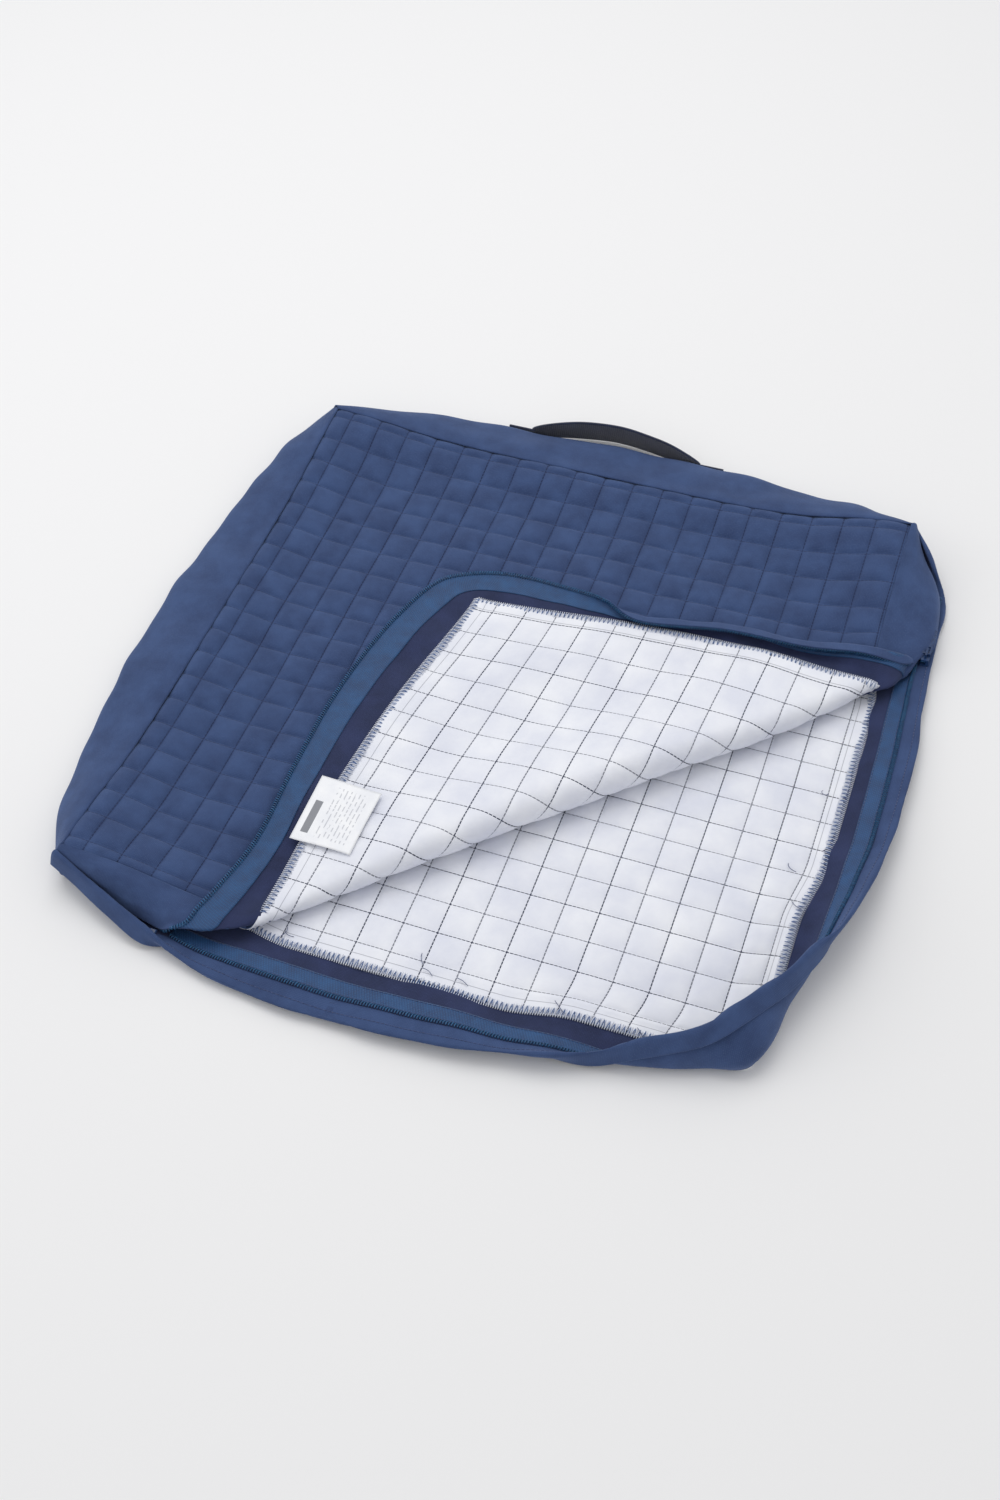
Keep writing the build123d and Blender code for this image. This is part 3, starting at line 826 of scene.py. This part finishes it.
# %% Lower band
lower_stations = [
    # seam point x, y; then out, height for the middle, the tape, the coil and the lap's edge
    ((-250, -250), (6, 8), (8, 18), (8, 25), (6, 31)),
    ((-206, -250), (12, 3), (23, 6), (28, 13), (22, 22)),
    ((-174, -250), (15, 2.5), (28, 5), (37, 9), (33, 15.5)),
    ((-150, -250), (16, 2.5), (30, 4.5), (38, 7), (42, 10)),
    ((-115, -250), (16, 2.5), (30, 4.5), (42, 6.5), (51, 7)),
    ((-40, -250), (14, 2.5), (27, 5), (41, 8), (57.5, 8)),
    ((50, -250), (13, 3), (26, 6), (38, 10), (53, 12)),
    ((105, -250), (14, 3), (27, 6), (37, 10), (44, 15)),
    ((148, -250), (14, 3), (26, 5), (31, 10), (30, 17)),
    ((180, -250), (13, 2.5), (23, 5), (23.5, 13), (15, 25)),
    ((216, -250), (9, 2.5), (14, 8), (11, 20), (-1, 34)),
    ((248, -248), (1, 4), (3, 17), (-9, 31), (-24, 41.5)),
    ((250, -200), (9, 6), (13, 17), (12, 29), (4, 41)),
    ((250, -170), (10, 5), (18, 14), (22, 26), (18, 39)),
    ((250, -140), (11, 5), (20, 13), (27, 24), (33, 35)),
    ((250, -60), (13, 3.5), (25, 8), (37, 14), (47, 21)),
    ((250, 30), (13, 3), (26, 6), (38, 10), (49, 12)),
    ((250, 100), (14, 3), (27, 5), (36, 8), (44, 9)),
    ((250, 150), (15, 3), (26, 4.5), (33, 6.0), (42, 7.0)),
    ((250, 206), (13, 3), (25, 4.5), (31, 6.0), (39.5, 6.5)),
    ((250, 228), (10, 5), (20, 11), (25, 18), (22, 25)),
    ((250, 250), (6, 8), (8, 18), (8, 25), (6, 31)),
]


def outward_way(x, y):
    """The direction outward from a seam point: square to its side, or diagonal at a corner."""
    way = np.array([float(abs(x) > half - 3), -1.0 if y < 3 - half else float(y > half - 3)])
    way[0] *= 1.0 if y > 3 - half or x > 0 or abs(y) < half else -1.0
    return way / np.linalg.norm(way)


def band_point(seam, out, height):
    """A point `out` mm outward from a seam point of the lower band."""
    way = outward_way(*seam)
    return (seam[0] + way[0] * out, seam[1] + way[1] * out, height)


def lower_rails():
    """The rails of the lower band, with the lap's under ply last."""
    rails = [[] for _ in range(8)]
    for seam, middle, tape, coil, lap in lower_stations:
        rails[0].append((*seam, 1.2))
        for rail, (out, height) in zip(rails[1:5], (middle, tape, coil, lap)):
            rail.append(band_point(seam, out, height))
        out, height = lap
        slope = np.array([out - coil[0], height - coil[1]])
        slope = slope / np.linalg.norm(slope)
        across = np.array([slope[1], -slope[0]])
        for rail, (back_by, down) in zip(rails[5:], ((-0.3, 1.3), (2.5, 2.2), (13, 1.8))):
            place = np.array([out, height]) - slope * back_by + across * down
            rail.append(band_point(seam, place[0], max(place[1], 0.8)))
    return rails


lower_grid = wrinkled(rail_sheet(lower_rails(), 420, 64), 0.8, 60, 31, (0.15, 0))
lower_grid[..., 2] = np.maximum(lower_grid[..., 2], 0.7)
# The under side of the band's inner part uses the darker inside canvas, which is painted shade.
lower_band = sheet("front_and_right_lower_gusset", lower_grid, canvas, 0.5, 0.5,
                   other=(canvas_inside_painted_shade, -0.56))
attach(lower_band, "cover")
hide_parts("front_lower_gusset", "corner_lower_gusset", "right_lower_gusset", "zip_lap")
print("lower band:", len(lower_band.data.vertices), "points")

# %% [markdown]
# ## Upper half of the gusset
# The upper half is sewn to the top panel. Along the closed ends of the zip it comes down over the lower
# half. Where the corner is folded back it goes with the flap and lies inside up, with the zip tape along
# its free edge. At each end of the fold it twists from one to the other. Its seam rail needs no placing,
# because `lay` already says where the panel's edge is. The other rails lie on the resting panel.

# %% Upper band
seam_drop = 1.4
upper_stations = [
    # a point of the seam on the flat panel; then x, y and height over the resting panel for four rails
    ((-250, -250), (-252, -252, 1), (-254, -254, -2), (-254, -254, -5), (-254, -254, -9)),
    ((-206, -250), (-206, -260, 1), (-207, -266, -7), (-207, -268, -12), (-208, -269, -16)),
    ((-168, -250), (-168, -262, 1.5), (-169, -271, -3), (-169, -275, -7), (-170, -278, -11)),
    ((-135, -250), (-139, -264, 4), (-147, -273, 2), (-153, -277, 0), (-158, -280, -3)),
    ((-105, -250), (-114, -264, 4), (-127, -271, 5), (-138, -274, 4), (-147, -273, 3)),
    ((-90, -250), (-101, -250, 7), (-117, -256, 7), (-132, -260, 7), (-143, -260, 7)),
    ((-65, -250), (-99, -226, 6), (-112, -232, 6), (-124, -238, 8), (-137, -240, 9)),
    ((-30, -250), (-98, -190, 6), (-111, -190, 6), (-120, -191, 6), (-130, -191, 8)),
    ((40, -250), (-98, -125, 6), (-113, -126, 6), (-122, -126, 6), (-132, -126, 7)),
    ((120, -250), (-92, -45, 6), (-109, -46, 6), (-120, -46, 6), (-131, -47, 7)),
    ((190, -250), (-83, 21, 6), (-99, 23, 6), (-110, 25, 6), (-121, 27, 7)),
    ((235, -250), (-66, 62, 6), (-82, 72, 6), (-93, 79, 6), (-103, 85, 7)),
    ((250, -250), (-60, 78, 6), (-69, 89, 6), (-76, 98, 6), (-82, 106, 7)),
    ((250, -235), (-38, 82, 6), (-42, 97, 6), (-43, 108, 6), (-45, 118, 7)),
    ((250, -190), (5, 88, 6), (6, 100, 6), (6, 109, 7), (7, 116, 9)),
    ((250, -155), (37, 92, 4), (37, 102, 6), (38, 109, 9), (38, 110, 13)),
    ((250, -120), (70, 93, 4), (69, 99, 6), (69, 103, 10), (70, 96, 13)),
    ((250, -50), (138, 103, 4), (138, 111, 6), (139, 117, 10), (138, 107, 14)),
    ((250, 10), (197, 104, 4), (197, 111, 6), (198, 117, 10), (199, 107, 15)),
    ((250, 50), (239, 101, 3), (238, 112, 6), (239, 122, 8), (241, 112, 12)),
    ((250, 70), (266, 97, 1), (270, 110, 1), (271, 126, 3), (274, 118, 2)),
    ((250, 88), (264, 100, -3), (275, 112, -7), (279, 128, -5), (283, 133, -7)),
    ((250, 110), (264, 114, -3), (276, 122, -4), (284, 133, -4), (290, 141, -7)),
    ((250, 150), (266, 150, -1), (279, 152, -2), (288, 153, -4.5), (292, 154, -9)),
    ((250, 200), (264, 200, -2), (276, 200, -7), (283, 200, -11), (286, 200, -16)),
    ((250, 228), (260, 229, -3), (266, 230, -11), (268, 231, -16), (268, 231, -20)),
    ((250, 250), (252, 252, 1), (254, 254, -4), (254, 254, -9), (254, 254, -14)),
]


def upper_rails():
    """The seam from the laid panel, and four rails that lie on the resting one."""
    rails = [[] for _ in range(5)]
    for seam, *others in upper_stations:
        x, y, z = lay(*seam)
        rails[0].append((x, y, z - seam_drop * (1 if fold_side(*seam) > 0 else -1)))
        for rail, (x, y, above) in zip(rails[1:], others):
            level = rest_level(np.clip(x, -half, half), np.clip(y, -half, half))
            rail.append((x, y, max(float(level) + above, 3.0)))
    return rails


def fold_side(x, y):
    """Distance of a point of the flat panel past the fold line, negative on the side that stays down."""
    return (x - fold_start[0]) * outward[0] + (y - fold_start[1]) * outward[1]


def even_rows(grid, rows):
    """The grid with its rows spaced evenly along its middle, and the old row number of each new one."""
    run = lengths(grid[:, grid.shape[1] // 2])
    place = np.interp(np.linspace(0, run[-1], rows), run, np.arange(len(run)))
    low = np.minimum(place.astype(int), len(grid) - 2)
    part = (place - low)[:, None, None]
    return grid[low] * (1 - part) + grid[low + 1] * part, place


fine_rows = 40
upper_fine = rail_sheet(upper_rails(), (len(upper_stations) - 1) * fine_rows + 1, 44)
upper_grid, upper_place = even_rows(upper_fine, 520)
upper_grid = wrinkled(upper_grid, 0.7, 42, 41, (0.25, 0.3))
station_side = np.array([fold_side(*station[0]) for station in upper_stations])
row_side = np.interp(upper_place / fine_rows, np.arange(len(station_side)), station_side)


def bend_with_fold(piece, side_of_point):
    """Passes a piece of the upper band to `blend_by_flat`: flat, its points lie as far past the fold as their
    seam does.
    """
    flat = np.zeros((len(side_of_point), 3))
    flat[:, :2] = (fold_start + fold_end) / 2 + outward * np.asarray(side_of_point)[:, None]
    blend_by_flat(piece, flat)


def side_grid(rows, across_share):
    """How far past the fold each point of a strip of the band counts: less so towards its free edge."""
    return rows[:, None] / (1 + 3 * np.asarray(across_share)[None, :])


# The band's upper side uses the darker inside canvas, which is painted shade.
upper_band = sheet("upper_gusset_turned_out", upper_grid, canvas, 0.45, 0.45, other=(canvas_inside_painted_shade, 1.0))
share = np.linspace(0, 1, upper_grid.shape[1])
bend_with_fold(upper_band, np.tile(side_grid(row_side, share).ravel(), 2))
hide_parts("front_upper_gusset", "right_upper_gusset", "flap_front_gusset",
            "flap_corner_gusset", "flap_right_gusset")
print("upper band:", len(upper_band.data.vertices), "points")

# %% [markdown]
# ## Zip tape and coil
# Each half of the zip is a woven tape with a nylon spiral sewn along its edge. The tape is a strip taken
# from the gusset's own grid and lifted off it, so it follows every wrinkle. The spiral is one long thread
# wound along the edge of the tape. Real turns are 1.2 mm apart, drawn 2 mm apart so that they show.

# %% Strips on a grid
def strip(grid, rows, first, last, columns, lift):
    """Part of a grid: some of its rows, from one share of its width to another, lifted along its normals."""
    n, m, _ = grid.shape
    rows = slice(int(rows[0] * (n - 1)), int(rows[1] * (n - 1)) + 1)
    raised = grid + normals(grid) * lift
    place = np.linspace(first, last, columns) * (m - 1)
    low = np.minimum(place.astype(int), m - 2)
    part = (place - low)[None, :, None]
    return (raised[:, low] * (1 - part) + raised[:, low + 1] * part)[rows]


def spiral(line, normal, pitch=2.0, wide=1.5, high=1.0):
    """A thread wound round a line: `wide` across it and `high` along the normals."""
    run = lengths(line)
    count = int(run[-1] / pitch * 8)
    place = np.linspace(0, run[-1], count)
    centre = np.stack([np.interp(place, run, line[:, k]) for k in range(3)], 1)
    up_way = np.stack([np.interp(place, run, normal[:, k]) for k in range(3)], 1)
    ahead = np.gradient(centre, axis=0)
    ahead /= np.linalg.norm(ahead, axis=1, keepdims=True)
    side_way = np.cross(ahead, up_way)
    angle = 2 * pi * place / pitch
    return centre + side_way * (wide * np.cos(angle))[:, None] + up_way * (high * np.sin(angle))[:, None]


# %% Upper half of the zip
upper_rows = (0.085, 0.905)                # the zip's share of the band's length
upper_tape_edges = (0.60, 0.98)            # the tape's share of the band's width
tape_thick, tape_lift = 0.28, 0.75         # mm to each side of the tape, and above the gusset
coil_thread, coil_lift = 0.42, 1.6         # mm radius of the coil's thread, and height above the gusset
n_rows = len(row_side)
kept_rows = row_side[int(upper_rows[0] * (n_rows - 1)):int(upper_rows[1] * (n_rows - 1)) + 1]
upper_tape_grid = strip(upper_grid, upper_rows, *upper_tape_edges, 12, tape_lift)
upper_tape = sheet("upper_zip_tape_woven", upper_tape_grid, tape_blue, tape_thick, tape_thick)
bend_with_fold(upper_tape, np.tile(side_grid(kept_rows, np.linspace(*upper_tape_edges, 12)).ravel(), 2))
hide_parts("flap_zip_tape")

coil_line = strip(upper_grid, upper_rows, 0.985, 1.0, 2, coil_lift)[:, 0]
coil_turns = spiral(coil_line, normals(strip(upper_grid, upper_rows, 0.9, 1.0, 6, 0))[:, 4])
upper_coil = cords("upper_zip_coil_wound", [coil_turns], coil_thread, coil_nylon)
turn_rows = np.interp(np.linspace(0, 1, len(coil_turns)), np.linspace(0, 1, len(kept_rows)), kept_rows)
bend_with_fold(upper_coil, np.repeat(turn_rows / 4, 6))
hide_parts("flap_zip_coil")
print("upper zip: tape", len(upper_tape.data.vertices), "points, coil turns", len(coil_turns) // 8)

# %% Lower half of the zip
lower_rows = (0.13, 0.845)
lower_tape_edges = (0.335, 0.53)
lower_tape_grid = strip(lower_grid, lower_rows, *lower_tape_edges, 12, -tape_lift)
lower_tape = sheet("lower_zip_tape_woven", lower_tape_grid, tape_blue, tape_thick, tape_thick)
coil_line = strip(lower_grid, lower_rows, 0.55, 0.56, 2, -coil_lift)[:, 0]
coil_turns = spiral(coil_line, normals(strip(lower_grid, lower_rows, 0.53, 0.58, 6, 0))[:, 3])
lower_coil = cords("lower_zip_coil_wound", [coil_turns], coil_thread, coil_nylon)
for piece, slot_name, node in ((lower_tape, "zip_tape", "lower_zip_tape"),
                               (lower_coil, "zip_coil", "lower_zip_coil")):
    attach(piece, "cover")
    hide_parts(node)

print("lower zip: tape", len(lower_tape.data.vertices), "points, coil turns", len(coil_turns) // 8)

# %% Closed chain, slider and stop
chain_low, chain_high = (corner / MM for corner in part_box("zip_chain"))
chain_points = 60
chain_x, chain_z = (chain_low.x + chain_high.x) / 2, (chain_low.z + chain_high.z) / 2
chain_line = np.linspace((chain_x, chain_low.y, chain_z), (chain_x, chain_high.y, chain_z), chain_points)
chain_up = np.tile((0.0, 0.0, 1.0), (chain_points, 1))
closed_chain = cords("closed_zip_chain", [spiral(chain_line, chain_up, 2.0, 1.7, 0.9)], 0.38, coil_nylon)
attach(closed_chain, "cover")
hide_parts("zip_chain")
for node in ("zip_slider", "zip_puller", "zip_stop"):
    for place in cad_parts[node].material_slots:
        place.material = enamel
print("closed chain from", round(chain_low.y), "to", round(chain_high.y), "mm")

# %% [markdown]
# ## Topstitching and loose thread ends
# Two rows of topstitching hold the lower tape to its gusset, and another holds down the lap. A stitch shows
# as a short dash of thread, 3.2 mm from hole to hole. Where a quilting row ends, the machine leaves a little
# tail of thread on the backing.

# %% Stitches
def dashes(line, gap=0.8):
    """Cuts a line into stitches with a small gap at each needle hole."""
    run = lengths(line)
    stitches = []
    for place in np.arange(2, run[-1] - stitch_length, stitch_length):
        spots = np.linspace(place, place + stitch_length - gap, 3)
        stitches.append(np.stack([np.interp(spots, run, line[:, k]) for k in range(3)], 1))
    return stitches


lower_seams = []
seams = ((0.35, -1.15), (0.515, -1.15), (0.70, -0.6))      # share of the band's width, and lift in mm
for share, lift in seams:
    lower_seams += dashes(strip(lower_grid, lower_rows, share, share + 0.01, 2, lift)[:, 0])
lap_stitches = cords("lower_gusset_stitches", lower_seams, 0.24, thread_navy)
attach(lap_stitches, "cover")

# %% Loose thread ends
tail_count, tail_steps, tail_step = 14, 9, 1.1
tails, draw = [], np.random.default_rng(91)
for spot in range(tail_count):
    side = spot % 2
    row = cell * draw.integers(-7, 9)
    x, y = (bottom_rows[0] - cell * 10 + row, -251 + draw.uniform(0, 6)) if side else (
        248 - draw.uniform(0, 8), bottom_rows[1] + cell * 9 + row)
    turn, curl = draw.uniform(0, 2 * pi), draw.uniform(-0.5, 0.5)
    tail = [np.array([x, y, 4.4])]
    for step in range(tail_steps):
        turn += curl
        tail.append(tail[-1] + np.array([cos(turn), sin(turn), 0.08 * (4 - step)]) * tail_step)
    tails.append(tail)
loose_ends = cords("quilting_thread_tails", tails, 0.25, thread_navy)
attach(loose_ends, "cover")
print("stitches:", len(lower_seams), "loose ends:", len(tails))

# %% [markdown]
# ## Overlocked edges
# An overlock machine trims the raw edge and wraps it in thread: white loops go over the edge and back
# underneath, and a blue needle thread zigzags 4 to 5 mm in and holds them. Each loop is a short thread of
# its own. Real loops are 1.5 mm apart; they are drawn 1.7 mm apart so that they don't run together.

# %% Overlock
def edge_loops(line, inward, rise, pitch, reach, lean, seed, zigzag=False):
    """Threads over a raw edge, from `reach` mm inside it, round the edge and back underneath.

    They lean `lean` mm along the edge, every other one the opposite way for a zigzag."""
    draw = np.random.default_rng(seed)
    past_edge = 0.35 if zigzag else 1.5       # mm a loop stands out past the edge
    run = lengths(line)
    place = np.arange(pitch, run[-1] - pitch, pitch)
    at = np.stack([np.interp(place, run, line[:, k]) for k in range(3)], 1)
    into = np.stack([np.interp(place, run, inward[:, k]) for k in range(3)], 1)
    ahead = np.gradient(at, axis=0)
    ahead /= np.linalg.norm(ahead, axis=1, keepdims=True)
    up_way = np.cross(ahead, into)
    up_way *= np.sign(up_way[:, 2:3])
    loops = []
    for k in range(len(at)):
        size = reach * draw.uniform(0.86, 1.1)
        skew = lean * draw.uniform(0.7, 1.3) * (-1 if zigzag and k % 2 else 1)
        loops.append(np.array([
            at[k] + into[k] * size + up_way[k] * rise * 0.7 + ahead[k] * skew,
            at[k] + into[k] * size * 0.45 + up_way[k] * (rise + 0.15) + ahead[k] * skew * 0.5,
            at[k] - into[k] * past_edge + up_way[k] * rise * 0.5,
            at[k] - into[k] * past_edge - up_way[k] * 0.6,
            at[k] + into[k] * size * 0.6 - up_way[k] * 0.9 - ahead[k] * skew * 0.4,
        ]))
    return loops


def inward_ways(line, inner):
    """Unit directions from each point of an edge to the same point of a line further in."""
    way = inner - line
    return way / np.linalg.norm(way, axis=1, keepdims=True)


def edge_pair(x0, y0, x1, y1, in_x, in_y, place):
    """An edge of a panel and a line 5 mm inside it, both put in space by `place`."""
    run = np.linspace(0, 1, 220)
    x, y = x0 + (x1 - x0) * run, y0 + (y1 - y0) * run
    return place(x, y), place(x + in_x, y + in_y)


def on_floor(x, y):
    """The middle of the bottom panel."""
    return np.stack([*drawn_in(x, y), np.full_like(x, 2.6)], -1)


bottom_edges = [edge_pair(-raw, -raw, raw, -raw, 0, 5, on_floor),
                edge_pair(raw, -raw, raw, raw, -5, 0, on_floor),
                edge_pair(raw, raw, -raw, raw, 0, -5, on_floor),
                edge_pair(-raw, raw, -raw, -raw, 5, 0, on_floor)]
flap_edges = [edge_pair(-91, -raw, raw, -raw, 0, 5, lay), edge_pair(raw, -raw, raw, 74, -5, 0, lay)]
for name, edges, body, node in (("bottom", bottom_edges, "cover", "bottom_overlock"),
                                ("flap", flap_edges, "flap", "flap_overlock")):
    white, blue = [], []
    for number, (line, inner) in enumerate(edges):
        ways = inward_ways(line, inner)
        white += edge_loops(line, ways, 1.2, 1.7, 5.4, 0.8, 50 + number)
        blue += edge_loops(line + (0, 0, 0.15), ways, 1.35, 1.75, 4.6, 0.8, 60 + number, True)
    loops_white = cords(f"{name}_overlock_white", white, 0.34, thread_white)
    loops_blue = cords(f"{name}_overlock_navy", blue, 0.27, thread_blue)
    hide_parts(node)
    for piece in (loops_white, loops_blue):
        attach(piece, body)
    print(name, "overlock:", len(white) + len(blue), "loops")

# %% [markdown]
# ## Carrying handle
# The handle is a length of webbing that stands on its edge and bows out between two sewn ends. Its top
# edge leans in towards the cover, because the ends are held by the sloping gusset. A cross in a box is
# the usual way to sew a webbing end down.

# %% Handle
strap_wide = strap_high.z - strap_low.z
tuck_in = 4.0              # mm of each end that runs over the sewn-down webbing
strap_start = strap_low.x - tuck_in
strap_span = strap_high.x - strap_low.x + 2 * tuck_in
bow_from, bow_to = strap_low.y + 1.2, strap_high.y - 0.9
end_share = 0.36           # the ends are folded over the gusset's crease, so only this share stands


def strap_point(share, height):
    """A point of the strap: share along it from 0 to 1, height up it from 0 to 1."""
    bow = sin(pi * share) ** 1.15
    tall = end_share + (1 - end_share) * bow ** 0.6
    lean = -9.0 * height * bow - 2.0 * height
    return (strap_start + strap_span * share, bow_from + (bow_to - bow_from) * bow + lean,
            strap_low.z - 0.5 + strap_wide * height * tall)


strap_grid = np.array([[strap_point(share, height) for height in np.linspace(0, 1, 14)]
                       for share in np.linspace(0, 1, 90)])
strap = sheet("handle_strap_webbing", wrinkled(strap_grid, 0.35, 45, 71), webbing, 0.8, 0.8)
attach(strap, "handle")
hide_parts("handle_strap")

anchor_low, anchor_high = (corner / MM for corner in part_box("handle_anchors"))
anchor_long = strap_low.x - anchor_low.x - 1
end_wide = strap_wide * end_share
sewn_in = 2.5              # mm from the end of the webbing to the sewn box
ends, box_stitches = [], []
for start_x in (anchor_low.x, anchor_high.x - anchor_long):
    ends.append(np.array([[(x, anchor_high.y + 0.6 - 2.6 * height, strap_low.z - 0.5 + end_wide * height)
                           for height in np.linspace(0, 1, 12)]
                          for x in np.linspace(start_x, start_x + anchor_long, 16)]))
    x0, x1 = start_x + sewn_in, start_x + anchor_long - sewn_in
    z0, z1 = strap_low.z + 1, strap_low.z + end_wide - 2
    for x_a, z_a, x_b, z_b in ((x0, z0, x1, z0), (x1, z0, x1, z1), (x1, z1, x0, z1), (x0, z1, x0, z0),
                               (x0, z0, x1, z1), (x0, z1, x1, z0)):
        for share in np.arange(0.02, 0.98, 0.14):
            pair = [share, share + 0.1]
            stitch = [(x_a + (x_b - x_a) * f, z_a + (z_b - z_a) * f) for f in pair]
            box_stitches.append([(x, anchor_high.y + 1.2 - z * 0.2, z) for x, z in stitch])
for number, grid in enumerate(ends):
    piece = sheet(f"handle_end_webbing_{number + 1}", grid, webbing, 0.8, 0.8)
    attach(piece, "cover")
    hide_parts("handle_anchors")
sewn = cords("handle_box_stitches", box_stitches, 0.3, thread_navy)
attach(sewn, "cover")
print("handle", round(strap_span), "mm long,", len(box_stitches), "stitches")

# %% [markdown]
# ## Label
# The label is a small rectangle of satin caught in the gusset seam. It lies over the raw edge and the
# white backing, with a gentle curl, and it turns with its own body. Its height is measured from the cloth
# below it, so it can't sink into a quilted cell.

# %% Label
seam_z = label_low.z - 4.0
label_rows, label_columns = 26, 30
skew = 4.5                 # mm the free end lies lower than the sewn end
near_x, near_y = np.meshgrid(np.linspace(-80, 150, 150), np.linspace(-raw, -140, 90), indexing="ij")
cloth_below = lay(near_x, near_y).reshape(-1, 3)
label_grid = np.empty((label_rows, label_columns, 3))
for i, across in enumerate(np.linspace(0, 1, label_rows)):
    for j, along in enumerate(np.linspace(0, 1, label_columns)):
        x = label_low.x + label_wide * across
        y = label_low.y + label_long * along - skew * across
        close = np.hypot(cloth_below[:, 0] - x, cloth_below[:, 1] - y) < 6
        under = cloth_below[close, 2].max() if close.any() else 0.0
        label_grid[i, j] = (x, y, max(under + 2.4, seam_z))
for _ in range(12):         # a satin label is stiffer than the cloth, so it bridges the small hollows
    padded = np.pad(label_grid[..., 2], 1, mode="edge")
    mean = (padded[:-2, 1:-1] + padded[2:, 1:-1] + padded[1:-1, :-2] + padded[1:-1, 2:]) / 4
    label_grid[..., 2] = np.maximum(mean, label_grid[..., 2] - 0.4)
rise = np.linspace(0, 1, label_rows)[:, None]
label_grid[..., 2] += 1.2 * np.sin(pi * rise) + 1.8 * rise ** 3 * np.linspace(0, 1, label_columns)[None, :]
along_label = np.stack(np.meshgrid(np.linspace(0, label_wide, label_rows),
                                   np.linspace(0, label_long, label_columns), indexing="ij"), -1)
label = sheet("care_label_satin", label_grid, satin, 0.12, 0.12, along_label)
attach(label, "label")
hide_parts("care_label")
print("label", round(label_wide), "by", round(label_long), "mm")

# %% [markdown]
# ## Light and floor
# A big soft light overhead and a dimmer one from the side are what a packshot studio uses. The world
# gives the even fill, and the floor is a plain pale sheet.

# %% Floor and lights
floor_mesh = bpy.data.meshes.new("floor")
reach = 6.0
floor_mesh.from_pydata([(-reach, -reach, 0), (reach, -reach, 0), (reach, reach, 0), (-reach, reach, 0)], [],
                       [(0, 1, 2, 3)])
floor = bpy.data.objects.new("floor", floor_mesh)
bpy.context.scene.collection.objects.link(floor)
floor_material, _, floor_shader = new_material("studio_floor_pale", roughness=0.8)
floor_shader.inputs["Base Color"].default_value = linear("#f1f1f2")
floor_mesh.materials.append(floor_material)


def soft_light(name, place, size, power, colour):
    """A square area light aimed at the middle of the cover."""
    light = bpy.data.lights.new(name, "AREA")
    light.size, light.energy, light.color = size, power, linear(colour)[:3]
    lamp = bpy.data.objects.new(name, light)
    lamp.location = place
    lamp.rotation_euler = (-Vector(place)).to_track_quat("-Z", "Y").to_euler()
    bpy.context.scene.collection.objects.link(lamp)
    return lamp


soft_light("overhead_softbox", (-0.5, 0.7, 2.2), 1.8, 19, "#ffffff")
soft_light("side_softbox", (-1.9, -0.6, 1.1), 1.2, 4, "#ffffff")
world = bpy.data.worlds.new("studio")
bpy.context.scene.world = world
world.use_nodes = True
world.node_tree.nodes["Background"].inputs["Color"].default_value = linear("#ffffff")
world.node_tree.nodes["Background"].inputs["Strength"].default_value = 0.68
bpy.context.scene.view_settings.view_transform = "Standard"
print("lights and floor set")
